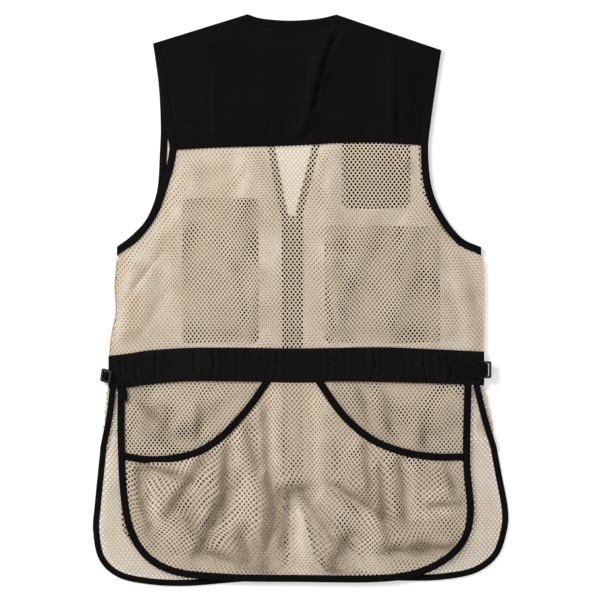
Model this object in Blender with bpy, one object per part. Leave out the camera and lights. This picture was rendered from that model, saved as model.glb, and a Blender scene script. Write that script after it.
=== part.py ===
"""Shooting vest lying flat on a table, back up, neck towards +Y.

Every piece that a maker cuts and sews on is its own solid. The front lies lowest, outer face down,
the back lies on it, and the belt and the shell pouch lie on the back. The origin is under the middle
of the vest, on the table. Sizes below are in millimetres and become metres as the meshes are made.
"""

import math
from collections import namedtuple

import bmesh
import bpy
from mathutils import Vector
from mathutils.geometry import delaunay_2d_cdt

MM = 0.001

# Cloth, tape and gaps
CLOTH = 1.2
SEAM_GAP = 0.3
BINDING_WIDTH = 10.0
BINDING_THICK = 2.0
BELT_THICK = 1.5
ZIP_WIDTH = 8.0
PANEL_INSET = BINDING_WIDTH + SEAM_GAP

# Heights of the layers above the table, each the top of its cloth where it lies flat
OUTER_TOP = CLOTH
FRONT_TOP = OUTER_TOP + SEAM_GAP + CLOTH
FRONT_BINDING_TOP = BINDING_THICK
ZIP_TOP = BINDING_THICK
BACK_TOP = FRONT_TOP + SEAM_GAP + CLOTH
BACK_BINDING_TOP = FRONT_TOP + SEAM_GAP + BINDING_THICK
BELT_TOP = BACK_TOP + SEAM_GAP + BELT_THICK
POUCH_TOP = BACK_TOP + SEAM_GAP + CLOTH
POUCH_BINDING_TOP = BACK_TOP + SEAM_GAP + BINDING_THICK
HEM_THICK = SEAM_GAP + 2 * CLOTH + SEAM_GAP
HEM_TOP = FRONT_TOP + SEAM_GAP + HEM_THICK
STRAP_TOP = BELT_TOP + SEAM_GAP + CLOTH

# How closely curves and panels are divided
CURVE_STEP = 16.0
FLAT_STEP = 70.0
BACK_STEP = 24.0
YOKE_STEP = 18.0
POUCH_STEP = 13.5
BELT_STEP = 7.0

At = namedtuple("At", "x y")
Fold = namedtuple("Fold", "x0 y0 x1 y1 height width")
Patch = namedtuple("Patch", "name x y width height corner")
Buckle = namedtuple("Buckle", "x y z length width roll tilt lean")

# Armholes from the shoulder to the underarm, and the neck, each along the outside of its binding
BACK_ARMHOLE_LEFT = [
    At(-199, 346), At(-191.5, 297), At(-183.5, 245), At(-178.6, 216), At(-177, 203),
    At(-181, 180), At(-186.3, 163), At(-201, 121), At(-224, 89), At(-247.5, 72),
]
BACK_ARMHOLE_RIGHT = [
    At(190, 337), At(182.3, 286), At(175.8, 240), At(172.3, 202),
    At(176.8, 153.5), At(191.7, 116.8), At(216.4, 84.8), At(243.6, 71.2),
]
FRONT_ARMHOLE_LEFT = [
    At(-199, 346), At(-191.5, 290), At(-188.8, 236), At(-190, 198),
    At(-193.5, 148.5), At(-207, 111), At(-227, 88), At(-247.5, 72),
]
FRONT_ARMHOLE_RIGHT = [
    At(190, 337), At(180.2, 277), At(171.8, 223), At(170, 189),
    At(176, 145.5), At(192.8, 111.2), At(216.4, 83.4), At(243.6, 71.2),
]
BACK_NECK = [At(-71.5, 385.5), At(-51, 379.6), At(-13.5, 376.9), At(24, 379.6), At(48.5, 385)]
NECK_V_LEFT = [At(-71.5, 385.5), At(-55, 300), At(-35, 208), At(-20.2, 131), At(-15.1, 112)]
NECK_V_RIGHT = [At(48.5, 385), At(31, 295), At(15.5, 208), At(-3.5, 131), At(-6.5, 112)]

# The yoke seam, and the edges of the belt, from the left to the right
YOKE_SEAM = [
    At(-190, 201.5), At(-94.5, 206), At(-13.5, 208), At(54, 211.5), At(108, 212), At(180, 207.5),
]
BELT_UPPER = [
    At(-259, -75.5), At(-232, -72), At(-200, -67.5), At(-135, -64), At(0, -65),
    At(108, -63.5), At(175.5, -66), At(247.5, -69.5),
]
BELT_LOWER = [
    At(-259, -119.4), At(-236, -118.7), At(-214, -115.4), At(-184, -112), At(-135, -109.5), At(0, -111.5),
    At(60, -110), At(175.5, -112.5), At(247.5, -115.5),
]

# Hems, outside of their binding: the back's from right to left, a front's from its slit to its side
BACK_HEM = [
    At(230.8, -115.5), At(229, -216), At(234, -286.4), At(224.2, -326), At(197, -354.4),
    At(155.5, -373.4), At(101, -380.6), At(0, -380.4), At(-94.5, -379), At(-167, -371.6),
    At(-208.6, -350.4), At(-232.4, -314.6), At(-243, -263.3), At(-246.7, -189), At(-246.7, -120),
]
FRONT_HEM_LEFT = [
    At(-14.5, -345), At(-25, -366), At(-51, -377), At(-101, -382), At(-155, -386),
    At(-202.5, -384), At(-245.5, -374.5), At(-271.5, -351), At(-280, -312), At(-277.6, -274),
    At(-271, -208), At(-269.6, -196), At(-262, -157), At(-257.5, -120),
]
FRONT_HEM_RIGHT = [
    At(18.5, -345), At(34, -366), At(81, -376), At(148.5, -379), At(196, -377),
    At(237.5, -368), At(266, -346), At(278.5, -312), At(280, -282), At(271.5, -235),
    At(266.5, -208), At(264, -196), At(251.5, -155), At(241.8, -115.8),
]

# The shell pouch's two openings, along the middle of their binding, from the belt to the hem
POUCH_OPENING_LEFT = [
    At(-52, -111.8), At(-68.2, -134.6), At(-85.8, -156), At(-106.2, -177.4), At(-128.4, -194),
    At(-151, -204), At(-182, -209.5), At(-209, -210), At(-234.3, -206),
]
POUCH_OPENING_RIGHT = [
    At(32, -111.8), At(48, -134.8), At(65.4, -156.2), At(88.4, -176.6), At(114.6, -191.4),
    At(148.5, -202), At(183.5, -206.5), At(218, -206.5),
]

# Side seams from the underarm to the belt, and below them where a front folds back at its vent
SIDE_LEFT = [At(-249, 52), At(-251.5, 20), At(-250, -15), At(-254.5, -40), At(-258, -64), At(-259, -112)]
SIDE_RIGHT = [At(247.5, 52), At(248.5, 20), At(248.5, -25), At(248, -66), At(248, -112)]
FRONT_FOLD_LEFT = [At(-262.2, -121), At(-263.2, -138), At(-265.4, -165)]
FRONT_FOLD_RIGHT = [At(249.5, -119), At(254, -136), At(260, -165)]
FOLD_FOOT_Y = -186.0
BINDING_RISE_FROM, BINDING_RISE_TO = -208.0, -196.0
ZIP_TOP_Y, ZIP_FOOT_Y = 105.0, -252.0
SLIDER_LENGTH = 9.0

# Pockets and the shooting patch on the outer face of the fronts
PATCHES = [
    Patch("shoulder_patch_right", 102, 218, 93, 190, 10),
    Patch("chest_pocket_left", -108, 39.5, 103, 196, 6),
    Patch("chest_pocket_right", 110.5, 21, 156, 158, 6),
    Patch("shell_pocket_left", -150, -206.5, 184, 277, 50),
    Patch("shell_pocket_right", 134, -206.5, 184, 277, 50),
]

# Largest folds: each is a soft ridge from one point to the other, as high and wide as stated
YOKE_FOLDS = [
    Fold(52, 372, 30, 308, 5.0, 13), Fold(30, 308, 16, 240, 7.0, 10), Fold(16, 240, 2, 214, 4.0, 12),
    Fold(-121, 300, -115, 222, 3.0, 13), Fold(134, 330, 131, 216, 4.5, 10),
    Fold(-52, 300, -42, 222, 2.0, 16), Fold(-160, 250, -150, 214, 2.0, 14),
    Fold(70, 280, 62, 222, 2.0, 15),
]
BACK_FOLDS = [
    Fold(-222, 60, -240, -50, 3.5, 11), Fold(-196, 84, -214, -40, 3.0, 12),
    Fold(-150, 170, -166, 40, 2.5, 16), Fold(-66, 200, -84, 60, 3.5, 14),
    Fold(-62, 40, -66, -56, 3.0, 13), Fold(38, 196, 42, 60, 3.5, 13),
    Fold(44, 40, 52, -54, 3.0, 13), Fold(126, 206, 156, 168, 5.0, 8),
    Fold(96, 110, 60, 10, 3.0, 15), Fold(150, 90, 128, -30, 3.0, 15),
    Fold(206, 78, 232, -30, 4.0, 12), Fold(180, 60, 196, -40, 3.0, 12),
    Fold(-190, -130, -226, -178, 3.0, 12), Fold(-120, -126, -160, -176, 2.5, 14),
    Fold(110, -128, 128, -166, 2.5, 14), Fold(190, -130, 176, -180, 3.0, 13),
]
POUCH_FOLDS = [
    Fold(-96, -196, -104, -246, 4.5, 10), Fold(-104, -246, -140, -318, 5.5, 11),
    Fold(-142, -224, -176, -276, 4.0, 12), Fold(-40, -150, -38, -262, 4.5, 13),
    Fold(-38, -262, -48, -332, 5.0, 11), Fold(-78, -250, -72, -330, 3.5, 11),
    Fold(-8, -256, -22, -318, 5.0, 10), Fold(14, -278, 40, -326, 4.5, 10),
    Fold(52, -250, 108, -292, 5.5, 10), Fold(112, -226, 122, -326, 4.5, 12),
    Fold(80, -296, 66, -344, 3.5, 10), Fold(150, -232, 158, -312, 3.5, 12),
    Fold(198, -236, 206, -280, 4.0, 10), Fold(206, -280, 178, -286, 3.0, 9),
    Fold(-222, -232, -212, -290, 3.5, 11), Fold(-206, -226, -164, -230, 3.0, 10),
    Fold(-200, -300, -156, -340, 4.0, 10), Fold(28, -160, 20, -240, 3.0, 14),
    Fold(-112, -330, -84, -356, 3.0, 9), Fold(44, -338, 58, -358, 3.0, 9),
    Fold(148, -330, 190, -326, 3.5, 10), Fold(-30, -344, -34, -364, 2.5, 8),
    Fold(96, -340, 104, -360, 2.5, 8), Fold(10, -344, 6, -364, 2.5, 8),
]
BELT_FOLD_X = [-220, -193, -142, -116, -85, -52, -31, 36, 58, 90, 101, 140, 169]
BELT_FOLD_HEIGHT, BELT_FOLD_WIDTH = 1.6, 5.0

# How far the loose cloth stands off what lies under it, and over what distance that fades
POUCH_BULGE = 1.6
OPENING_LIFT = 2.4
BACK_LOFT = 2.5
YOKE_LOFT = 1.5
LIFT_FADE = 60.0
EDGE_FADE = 26.0

# Adjusters at the ends of the belt
BUCKLE_THICK, BUCKLE_BAR, BUCKLE_CORNER = 3.0, 3.2, 2.5
BUCKLES = {
    "left": Buckle(-261.8, -102.2, 9.15, 15.0, 18.5, 18.0, -20.0, -15.0),
    "right": Buckle(248.4, -94.0, 7.8, 17.6, 23.0, 0.0, 0.0, 0.0),
}
STRAP_RIGHT_X, STRAP_RIGHT_Y, STRAP_RIGHT_STEP = (204.5, 247.7), (-106.7, -81.0), (229.0, 238.5)
STRAP_LEFT = [
    At(-247, -104), At(-238.3, -104), At(-238.3, -117), At(-233, -118.5),
    At(-233, -136.3), At(-246.4, -136.3), At(-246.6, -117),
]


def clear_scene():
    for old in list(bpy.data.objects):
        bpy.data.objects.remove(old)


def material(name, colour, roughness, metallic=0.0):
    made = bpy.data.materials.new(name)
    made.use_nodes = True
    shader = made.node_tree.nodes["Principled BSDF"]
    shader.inputs["Base Color"].default_value = (*colour, 1.0)
    shader.inputs["Roughness"].default_value = roughness
    shader.inputs["Metallic"].default_value = metallic
    return made


def smooth_curve(knots, step=CURVE_STEP):
    """Points about one step apart on the smooth curve through the knots."""
    ends = [At(2 * knots[0].x - knots[1].x, 2 * knots[0].y - knots[1].y)]
    tail = [At(2 * knots[-1].x - knots[-2].x, 2 * knots[-1].y - knots[-2].y)]
    row = ends + list(knots) + tail
    points = []
    for a, b, c, d in zip(row, row[1:], row[2:], row[3:]):
        parts = max(1, round(math.hypot(c.x - b.x, c.y - b.y) / step))
        for part in range(parts):
            t = part / parts
            points.append(At(blend_of(a.x, b.x, c.x, d.x, t), blend_of(a.y, b.y, c.y, d.y, t)))
    return points + [knots[-1]]


def blend_of(a, b, c, d, t):
    """Catmull-Rom value between b and c."""
    return 0.5 * (
        2 * b + (c - a) * t + (2 * a - 5 * b + 4 * c - d) * t * t + (3 * b - a - 3 * c + d) * t ** 3
    )


def moved_in(points, distance, first=None, last=None):
    """The line moved to its right-hand side by a distance; first and last give the cut at its ends."""
    moved = []
    for i, here in enumerate(points):
        before, after = points[max(i - 1, 0)], points[min(i + 1, len(points) - 1)]
        back = Vector((here.x - before.x, here.y - before.y))
        ahead = Vector((after.x - here.x, after.y - here.y))
        sides = [Vector((v.y, -v.x)).normalized() for v in (back, ahead) if v.length > 1e-9]
        out = sum(sides, Vector((0, 0))).normalized()
        cut = first if i == 0 else last if i == len(points) - 1 else None
        if cut is not None:
            out = Vector((cut.x, cut.y)).normalized()
        reach = distance / max(0.35, out.dot(sides[0]))
        moved.append(At(here.x + out.x * reach, here.y + out.y * reach))
    return moved


def area_of(outline):
    pairs = zip(outline, outline[1:] + outline[:1])
    return sum(a.x * b.y - b.x * a.y for a, b in pairs) / 2


def distance_to(x, y, line):
    """Shortest distance from a point to an open line."""
    best = 1e9
    for a, b in zip(line, line[1:]):
        dx, dy = b.x - a.x, b.y - a.y
        t = max(0.0, min(1.0, ((x - a.x) * dx + (y - a.y) * dy) / (dx * dx + dy * dy)))
        best = min(best, math.hypot(x - a.x - t * dx, y - a.y - t * dy))
    return best


def inside(x, y, outline):
    odd = False
    for a, b in zip(outline, outline[1:] + outline[:1]):
        if (a.y > y) != (b.y > y) and x < (b.x - a.x) * (y - a.y) / (b.y - a.y) + a.x:
            odd = not odd
    return odd


def ease(value, full):
    """0 at 0, rising softly to 1 at full."""
    t = max(0.0, min(1.0, value / full))
    return t * t * (3 - 2 * t)


def ridges(x, y, folds):
    """Height of all the folds at a point."""
    total = 0.0
    for fold in folds:
        dx, dy = fold.x1 - fold.x0, fold.y1 - fold.y0
        length = math.hypot(dx, dy)
        along = ((x - fold.x0) * dx + (y - fold.y0) * dy) / length
        across = abs((x - fold.x0) * dy - (y - fold.y0) * dx) / length
        past = max(0.0, -along, along - length)
        total += fold.height * math.exp(-(across / fold.width) ** 2 - (past / fold.width) ** 2)
    return total


def in_between(outline, step):
    """A lattice of points inside an outline, clear of its edge."""
    xs, ys = [p.x for p in outline], [p.y for p in outline]
    loop = outline + outline[:1]
    rise = step * math.sqrt(3) / 2
    found = []
    for row in range(int((max(ys) - min(ys)) / rise) + 1):
        y = min(ys) + (row + 0.5) * rise
        shift = 0.5 * step * (row % 2)
        for column in range(int((max(xs) - min(xs)) / step) + 2):
            x = min(xs) + column * step + shift
            if inside(x, y, outline) and distance_to(x, y, loop) > 0.55 * step:
                found.append(At(x, y))
    return found


def cloth(name, outline, top, thick, finish, step=None):
    """A wall over an outline, with its upper face at top(x, y) and the lower one straight below."""
    points = outline + (in_between(outline, step) if step else [])
    border = list(range(len(outline)))
    if area_of(outline) < 0:
        border.reverse()
    flat, _, faces, _, _, _ = delaunay_2d_cdt([Vector(p) for p in points], [], [border], 1, 1e-4)
    mesh = bpy.data.meshes.new(name)
    mesh.from_pydata([(p.x * MM, p.y * MM, top(p.x, p.y) * MM) for p in flat], [], faces)
    thicken(mesh, thick)
    mesh.materials.append(finish)
    return place(name, mesh)


def thicken(mesh, thick):
    """Closes an open sheet into a wall that reaches straight down from it."""
    work = bmesh.new()
    work.from_mesh(mesh)
    for face in work.faces:
        if face.normal.z < 0:
            face.normal_flip()
    made = bmesh.ops.extrude_face_region(work, geom=work.faces[:])["geom"]
    lower = [item for item in made if isinstance(item, bmesh.types.BMVert)]
    bmesh.ops.translate(work, verts=lower, vec=(0, 0, -thick * MM))
    bmesh.ops.recalc_face_normals(work, faces=work.faces[:])
    work.to_mesh(mesh)
    work.free()


def place(name, data):
    made = bpy.data.objects.new(name, data)
    bpy.data.collections["shooting_vest"].objects.link(made)
    return made


def level(height):
    return lambda x, y: height


def band(name, outer, inner, top, thick, finish):
    """A tape between its two edges, which run the same way."""
    return cloth(name, outer + inner[::-1], top, thick, finish)


def mirrored(line):
    return [At(-p.x, p.y) for p in line]


def shifted(line, dy):
    return [At(p.x, p.y + dy) for p in line]


def towards(a, b):
    return At(b.x - a.x, b.y - a.y)


def parted(line, other, clear=1.0):
    """The stretches of a line before and after it crosses another, both with the crossing."""
    for i, (a, b) in enumerate(zip(line, line[1:])):
        for c, d in zip(other, other[1:]):
            turn = (b.x - a.x) * (d.y - c.y) - (b.y - a.y) * (d.x - c.x)
            if abs(turn) < 1e-9:
                continue
            t = ((c.x - a.x) * (d.y - c.y) - (c.y - a.y) * (d.x - c.x)) / turn
            u = ((c.x - a.x) * (b.y - a.y) - (c.y - a.y) * (b.x - a.x)) / turn
            if 0 <= t <= 1 and 0 <= u <= 1:
                spot = At(a.x + t * (b.x - a.x), a.y + t * (b.y - a.y))
                before = [p for p in line[:i + 1] if math.dist(p, spot) > clear]
                after = [p for p in line[i + 1:] if math.dist(p, spot) > clear]
                return before + [spot], [spot] + after
    raise ValueError("the lines don't cross")


def box_outline(width, height, corner, x=0.0, y=0.0, turns=3):
    """A rectangle with round corners."""
    points = []
    for quarter, (sx, sy) in enumerate([(1, 1), (-1, 1), (-1, -1), (1, -1)]):
        for part in range(turns + 1):
            angle = math.radians(90 * (quarter + part / turns))
            centre_x, centre_y = x + sx * (width / 2 - corner), y + sy * (height / 2 - corner)
            points.append(At(centre_x + corner * math.cos(angle), centre_y + corner * math.sin(angle)))
    return points


DOWN, TO_RIGHT, TO_LEFT = At(0, -1), At(1, 0), At(-1, 0)
SHOULDER_LEFT = towards(BACK_NECK[0], BACK_ARMHOLE_LEFT[0])
SHOULDER_RIGHT = towards(BACK_NECK[-1], BACK_ARMHOLE_RIGHT[0])
TO_NECK_LEFT = towards(BACK_ARMHOLE_LEFT[0], BACK_NECK[0])
TO_NECK_RIGHT = towards(BACK_ARMHOLE_RIGHT[0], BACK_NECK[-1])


def back_armhole(side, inset):
    """The back's armhole edge moved in: up on the left, down on the right."""
    if side == "left":
        return moved_in(smooth_curve(BACK_ARMHOLE_LEFT)[::-1], inset, DOWN, TO_NECK_LEFT)
    return moved_in(smooth_curve(BACK_ARMHOLE_RIGHT), inset, TO_NECK_RIGHT, DOWN)


def back_neck(inset):
    return moved_in(smooth_curve(BACK_NECK), inset, SHOULDER_LEFT, SHOULDER_RIGHT)


def back_hem(inset):
    return moved_in(smooth_curve(BACK_HEM), inset, TO_LEFT, TO_RIGHT)


def pouch_opening(side, inset):
    """An opening's edge, up on the left and down on the right, with the pouch on its right hand."""
    if side == "left":
        return moved_in(smooth_curve(POUCH_OPENING_LEFT)[::-1], inset, DOWN, TO_RIGHT)
    return moved_in(smooth_curve(POUCH_OPENING_RIGHT), inset, TO_LEFT, DOWN)


def pouch_outline(inset):
    """The pouch: its left opening, the belt, its right opening and the hem."""
    left, right = pouch_opening("left", inset), pouch_opening("right", inset)
    foot = min(left[0].y, right[-1].y) - 4
    hem = [p for p in back_hem(PANEL_INSET) if p.y < foot]
    return left + right + hem


def belt_outline():
    lower = smooth_curve(BELT_LOWER, BELT_STEP)
    return smooth_curve(BELT_UPPER, BELT_STEP) + lower[::-1]


def build_yoke(finish):
    """The yoke, with its relief fading towards every edge."""
    seam = shifted(smooth_curve(YOKE_SEAM), SEAM_GAP / 2)
    left = parted(back_armhole("left", PANEL_INSET), seam)[1]
    right = parted(back_armhole("right", PANEL_INSET), seam)[0]
    middle = [p for p in seam if left[0].x + 2 < p.x < right[-1].x - 2]
    outline = left + back_neck(PANEL_INSET) + right + middle[::-1]
    loop = outline + outline[:1]

    def top(x, y):
        fade = ease(distance_to(x, y, loop), EDGE_FADE)
        return BACK_TOP + fade * (YOKE_LOFT + ridges(x, y, YOKE_FOLDS))

    return cloth("back_yoke", outline, top, CLOTH, finish, YOKE_STEP)


def build_back(finish):
    """The back from the yoke seam to the hem, flat under the belt and the pouch."""
    seam = shifted(smooth_curve(YOKE_SEAM), -SEAM_GAP / 2)
    left = parted(back_armhole("left", PANEL_INSET), seam)[0]
    right = parted(back_armhole("right", PANEL_INSET), seam)[1]
    middle = [p for p in seam if left[-1].x + 2 < p.x < right[0].x - 2]
    sides = smooth_curve(SIDE_LEFT)[::-1], smooth_curve(SIDE_RIGHT)
    outline = left + middle + right + sides[1] + back_hem(PANEL_INSET) + sides[0]
    belt, pouch = belt_outline(), pouch_outline(-BINDING_WIDTH / 2)
    loops = [ring + ring[:1] for ring in (belt, pouch)]
    edge = outline + outline[:1]

    def top(x, y):
        if inside(x, y, belt) or inside(x, y, pouch):
            return BACK_TOP
        reach = min(distance_to(x, y, ring) for ring in loops) - BACK_STEP
        fade = ease(reach, EDGE_FADE) * ease(distance_to(x, y, edge), EDGE_FADE)
        return BACK_TOP + fade * (BACK_LOFT + ridges(x, y, BACK_FOLDS))

    return cloth("back_panel", outline, top, CLOTH, finish, BACK_STEP)


HEM_INSIDE = back_hem(PANEL_INSET)
OPENINGS = [pouch_opening(side, 0.0) for side in ("left", "right")]
POUCH_HEAD = [OPENINGS[0][-1], OPENINGS[1][0]]


def pouch_lift(x, y):
    """How far the pouch stands off the back: nothing at the hem and the belt, most between them."""
    held = min(distance_to(x, y, HEM_INSIDE), distance_to(x, y, POUCH_HEAD))
    away = min(distance_to(x, y, line) for line in OPENINGS)
    swell = POUCH_BULGE * ease(away, 2 * EDGE_FADE)
    return ease(held, LIFT_FADE) * (OPENING_LIFT + swell)


def build_pouch(net, tape):
    """The pouch's panel, and the tape along each of its two openings."""
    half = BINDING_WIDTH / 2
    outline = pouch_outline(half + SEAM_GAP)
    loop = outline + outline[:1]

    def top(x, y):
        fade = ease(distance_to(x, y, loop), EDGE_FADE)
        return POUCH_TOP + pouch_lift(x, y) + fade * ridges(x, y, POUCH_FOLDS)

    def tape_top(x, y):
        return POUCH_BINDING_TOP + pouch_lift(x, y)

    cloth("shell_pouch", outline, top, CLOTH, net, POUCH_STEP)
    for side in ("left", "right"):
        edges = pouch_opening(side, -half), pouch_opening(side, half)
        band(f"binding_pouch_{side}", *edges, tape_top, BINDING_THICK, tape)


def build_belt(finish):
    def top(x, y):
        rise = sum(math.exp(-((x - at) / BELT_FOLD_WIDTH) ** 2) for at in BELT_FOLD_X)
        return BELT_TOP + BELT_FOLD_HEIGHT * rise

    return cloth("belt", belt_outline(), top, BELT_THICK, finish)


def build_back_bindings(finish):
    for side in ("left", "right"):
        edges = back_armhole(side, 0.0), back_armhole(side, BINDING_WIDTH)
        top = level(BACK_BINDING_TOP)
        band(f"binding_armhole_back_{side}", *edges, top, BINDING_THICK, finish)
    edges = back_neck(0.0), back_neck(BINDING_WIDTH)
    band("binding_neck_back", *edges, level(BACK_BINDING_TOP), BINDING_THICK, finish)
    edges = back_hem(0.0), back_hem(BINDING_WIDTH)
    band("binding_hem_back", *edges, level(HEM_TOP), HEM_THICK, finish)


def rising_top(x, y):
    """Top of a front's hem tape, which climbs onto the folded-back edge beside the vent."""
    climb = ease(y - BINDING_RISE_FROM, BINDING_RISE_TO - BINDING_RISE_FROM)
    return FRONT_BINDING_TOP + climb * (BACK_BINDING_TOP - FRONT_BINDING_TOP)


def build_front(side, net, tape):
    """A front and its tapes. The right one is worked out as a left one and mirrored."""
    tables = {
        "left": [FRONT_ARMHOLE_LEFT, NECK_V_LEFT, FRONT_HEM_LEFT, SIDE_LEFT, FRONT_FOLD_LEFT],
        "right": [FRONT_ARMHOLE_RIGHT, NECK_V_RIGHT, FRONT_HEM_RIGHT, SIDE_RIGHT, FRONT_FOLD_RIGHT],
    }[side]
    if side == "right":
        tables = [mirrored(table) for table in tables]
    armhole, neck, hem, side_seam, fold = [smooth_curve(table) for table in tables]

    def turned(line):
        return line if side == "left" else mirrored(line)

    along_shoulder = towards(armhole[0], neck[0])
    shoulder_cut = towards(neck[0], armhole[0])
    upper = neck + [At(neck[-1].x, ZIP_FOOT_Y + SEAM_GAP / 2)]
    lower = [At(neck[-1].x, ZIP_FOOT_Y - SEAM_GAP / 2)] + hem

    def upper_moved(inset):
        return moved_in(upper, inset, shoulder_cut, TO_LEFT)

    def lower_moved(inset):
        return moved_in(lower, inset, TO_LEFT, TO_RIGHT)

    def armhole_moved(inset):
        return moved_in(armhole[::-1], inset, DOWN, along_shoulder)

    fold_line = [At(-400, FOLD_FOOT_Y), At(0, FOLD_FOOT_Y)]
    hem_inner = parted(lower_moved(PANEL_INSET), fold_line)[0]
    fold_foot = parted(lower, fold_line)[0][-1]
    outline = armhole_moved(PANEL_INSET) + upper_moved(PANEL_INSET) + hem_inner
    outline += [fold_foot] + fold[::-1] + side_seam[::-1]
    cloth(f"front_panel_{side}", turned(outline), level(FRONT_TOP), CLOTH, net, FLAT_STEP)

    top = level(FRONT_BINDING_TOP)
    edges = turned(upper), turned(upper_moved(BINDING_WIDTH))
    band(f"binding_front_{side}", *edges, top, BINDING_THICK, tape)
    edges = turned(lower), turned(lower_moved(BINDING_WIDTH))
    band(f"binding_hem_front_{side}", *edges, rising_top, BINDING_THICK, tape)
    edges = turned(armhole[::-1]), turned(armhole_moved(BINDING_WIDTH))
    band(f"binding_armhole_front_{side}", *edges, top, BINDING_THICK, tape)


def build_zip(tape, metal):
    """The closed zip between the fronts, and its slider at the foot of the neck."""
    middle = (NECK_V_LEFT[-1].x + NECK_V_RIGHT[-1].x) / 2
    foot = ZIP_FOOT_Y + SEAM_GAP / 2
    length = ZIP_TOP_Y - foot
    outline = box_outline(ZIP_WIDTH, length, 0.5, middle, foot + length / 2, 1)
    cloth("zip", outline, level(ZIP_TOP), CLOTH, tape)
    centre = ZIP_TOP_Y + SEAM_GAP + SLIDER_LENGTH / 2
    outline = box_outline(ZIP_WIDTH, SLIDER_LENGTH, 2.0, middle, centre)
    cloth("zip_slider", outline, level(ZIP_TOP), ZIP_TOP, metal)


def build_buckle(side, finish):
    """A flat three-bar buckle, cut as one outline with two slots."""
    size = BUCKLES[side]
    data = bpy.data.curves.new(f"buckle_{side}", "CURVE")
    data.dimensions = "2D"
    data.fill_mode = "BOTH"
    data.extrude = BUCKLE_THICK / 2 * MM
    slot = (size.length - 3 * BUCKLE_BAR) / 2
    shift = (slot + BUCKLE_BAR) / 2
    rings = [box_outline(size.length, size.width, BUCKLE_CORNER)]
    for x in (-shift, shift):
        rings.append(box_outline(slot, size.width - 2 * BUCKLE_BAR, 0.8, x))
    for ring in rings:
        spline = data.splines.new("POLY")
        spline.points.add(len(ring) - 1)
        for point, at in zip(spline.points, ring):
            point.co = (at.x * MM, at.y * MM, 0, 1)
        spline.use_cyclic_u = True
    data.materials.append(finish)
    made = place(f"buckle_{side}", data)
    made.location = (size.x * MM, size.y * MM, size.z * MM)
    made.rotation_euler = [math.radians(turn) for turn in (size.roll, size.tilt, size.lean)]


def build_straps(finish):
    """The strap that climbs onto the right buckle, and the end that hangs from the left one."""
    (x0, x1), (y0, y1) = STRAP_RIGHT_X, STRAP_RIGHT_Y
    start, end = STRAP_RIGHT_STEP
    xs = [x0, start, (start + end) / 2, end, x1]
    over_buckle = BUCKLES["right"].z + BUCKLE_THICK / 2 + SEAM_GAP + CLOTH

    def top(x, y):
        return STRAP_TOP + ease(x - start, end - start) * (over_buckle - STRAP_TOP)

    edges = [At(x, y1) for x in xs], [At(x, y0) for x in xs]
    band("adjuster_strap_right", *edges, top, CLOTH, finish)
    cloth("adjuster_strap_left", STRAP_LEFT, level(STRAP_TOP), CLOTH, finish)


def main():
    clear_scene()
    bpy.context.scene.collection.children.link(bpy.data.collections.new("shooting_vest"))
    net = material("net", (0.62, 0.51, 0.37), 0.8)
    black = material("black_cloth", (0.012, 0.011, 0.012), 0.75)
    tape = material("binding", (0.016, 0.015, 0.016), 0.7)
    elastic = material("elastic", (0.02, 0.02, 0.021), 0.7)
    plastic = material("plastic", (0.04, 0.04, 0.045), 0.4)
    for patch in PATCHES:
        outline = box_outline(patch.width, patch.height, patch.corner, patch.x, patch.y)
        cloth(patch.name, outline, level(OUTER_TOP), CLOTH, black)
    for side in ("left", "right"):
        build_front(side, net, tape)
    build_zip(tape, plastic)
    build_yoke(black)
    build_back(net)
    build_back_bindings(tape)
    build_pouch(net, tape)
    build_belt(elastic)
    for side in BUCKLES:
        build_buckle(side, plastic)
    build_straps(elastic)


main()
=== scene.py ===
"""The looks of a shooting vest that lies flat on a table with its back up.

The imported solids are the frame. Every one of them is replaced here by a finer piece in its place: open
net with real holes, creased cloth, folded and stitched tapes, a gathered belt, buckles and a zip.
Sizes are in millimetres in the tables and become metres as the meshes are made.
"""

import logging
import math
from contextlib import contextmanager
from dataclasses import dataclass, field
from enum import Enum
from functools import partial
from typing import Callable, Iterator, NamedTuple, Sequence

import bmesh
import bpy
import numpy as np
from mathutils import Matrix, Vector
from mathutils.geometry import delaunay_2d_cdt

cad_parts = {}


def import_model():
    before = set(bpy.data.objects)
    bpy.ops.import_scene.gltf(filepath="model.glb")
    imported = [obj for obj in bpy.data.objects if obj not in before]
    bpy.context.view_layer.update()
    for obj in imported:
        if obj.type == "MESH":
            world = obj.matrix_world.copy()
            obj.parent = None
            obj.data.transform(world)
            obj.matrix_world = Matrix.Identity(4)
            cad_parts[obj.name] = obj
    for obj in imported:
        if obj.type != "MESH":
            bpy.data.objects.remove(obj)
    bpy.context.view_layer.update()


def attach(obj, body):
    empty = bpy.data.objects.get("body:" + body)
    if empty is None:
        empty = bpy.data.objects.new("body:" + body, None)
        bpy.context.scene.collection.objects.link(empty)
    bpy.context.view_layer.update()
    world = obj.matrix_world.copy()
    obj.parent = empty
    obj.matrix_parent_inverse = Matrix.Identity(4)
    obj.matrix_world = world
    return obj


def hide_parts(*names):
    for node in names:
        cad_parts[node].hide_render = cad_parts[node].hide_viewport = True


log = logging.getLogger("shooting_vest")

MM = 0.001
ROW_STEP = 0.866
END_FADE = 1.6
WHITE = (1.0, 1.0, 1.0, 1.0)
Line = np.ndarray
Height = Callable[[np.ndarray], np.ndarray]
Spot = tuple[float, float, float]


class At(NamedTuple):
    """A place seen from above, in millimetres."""

    x: float
    y: float


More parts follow.
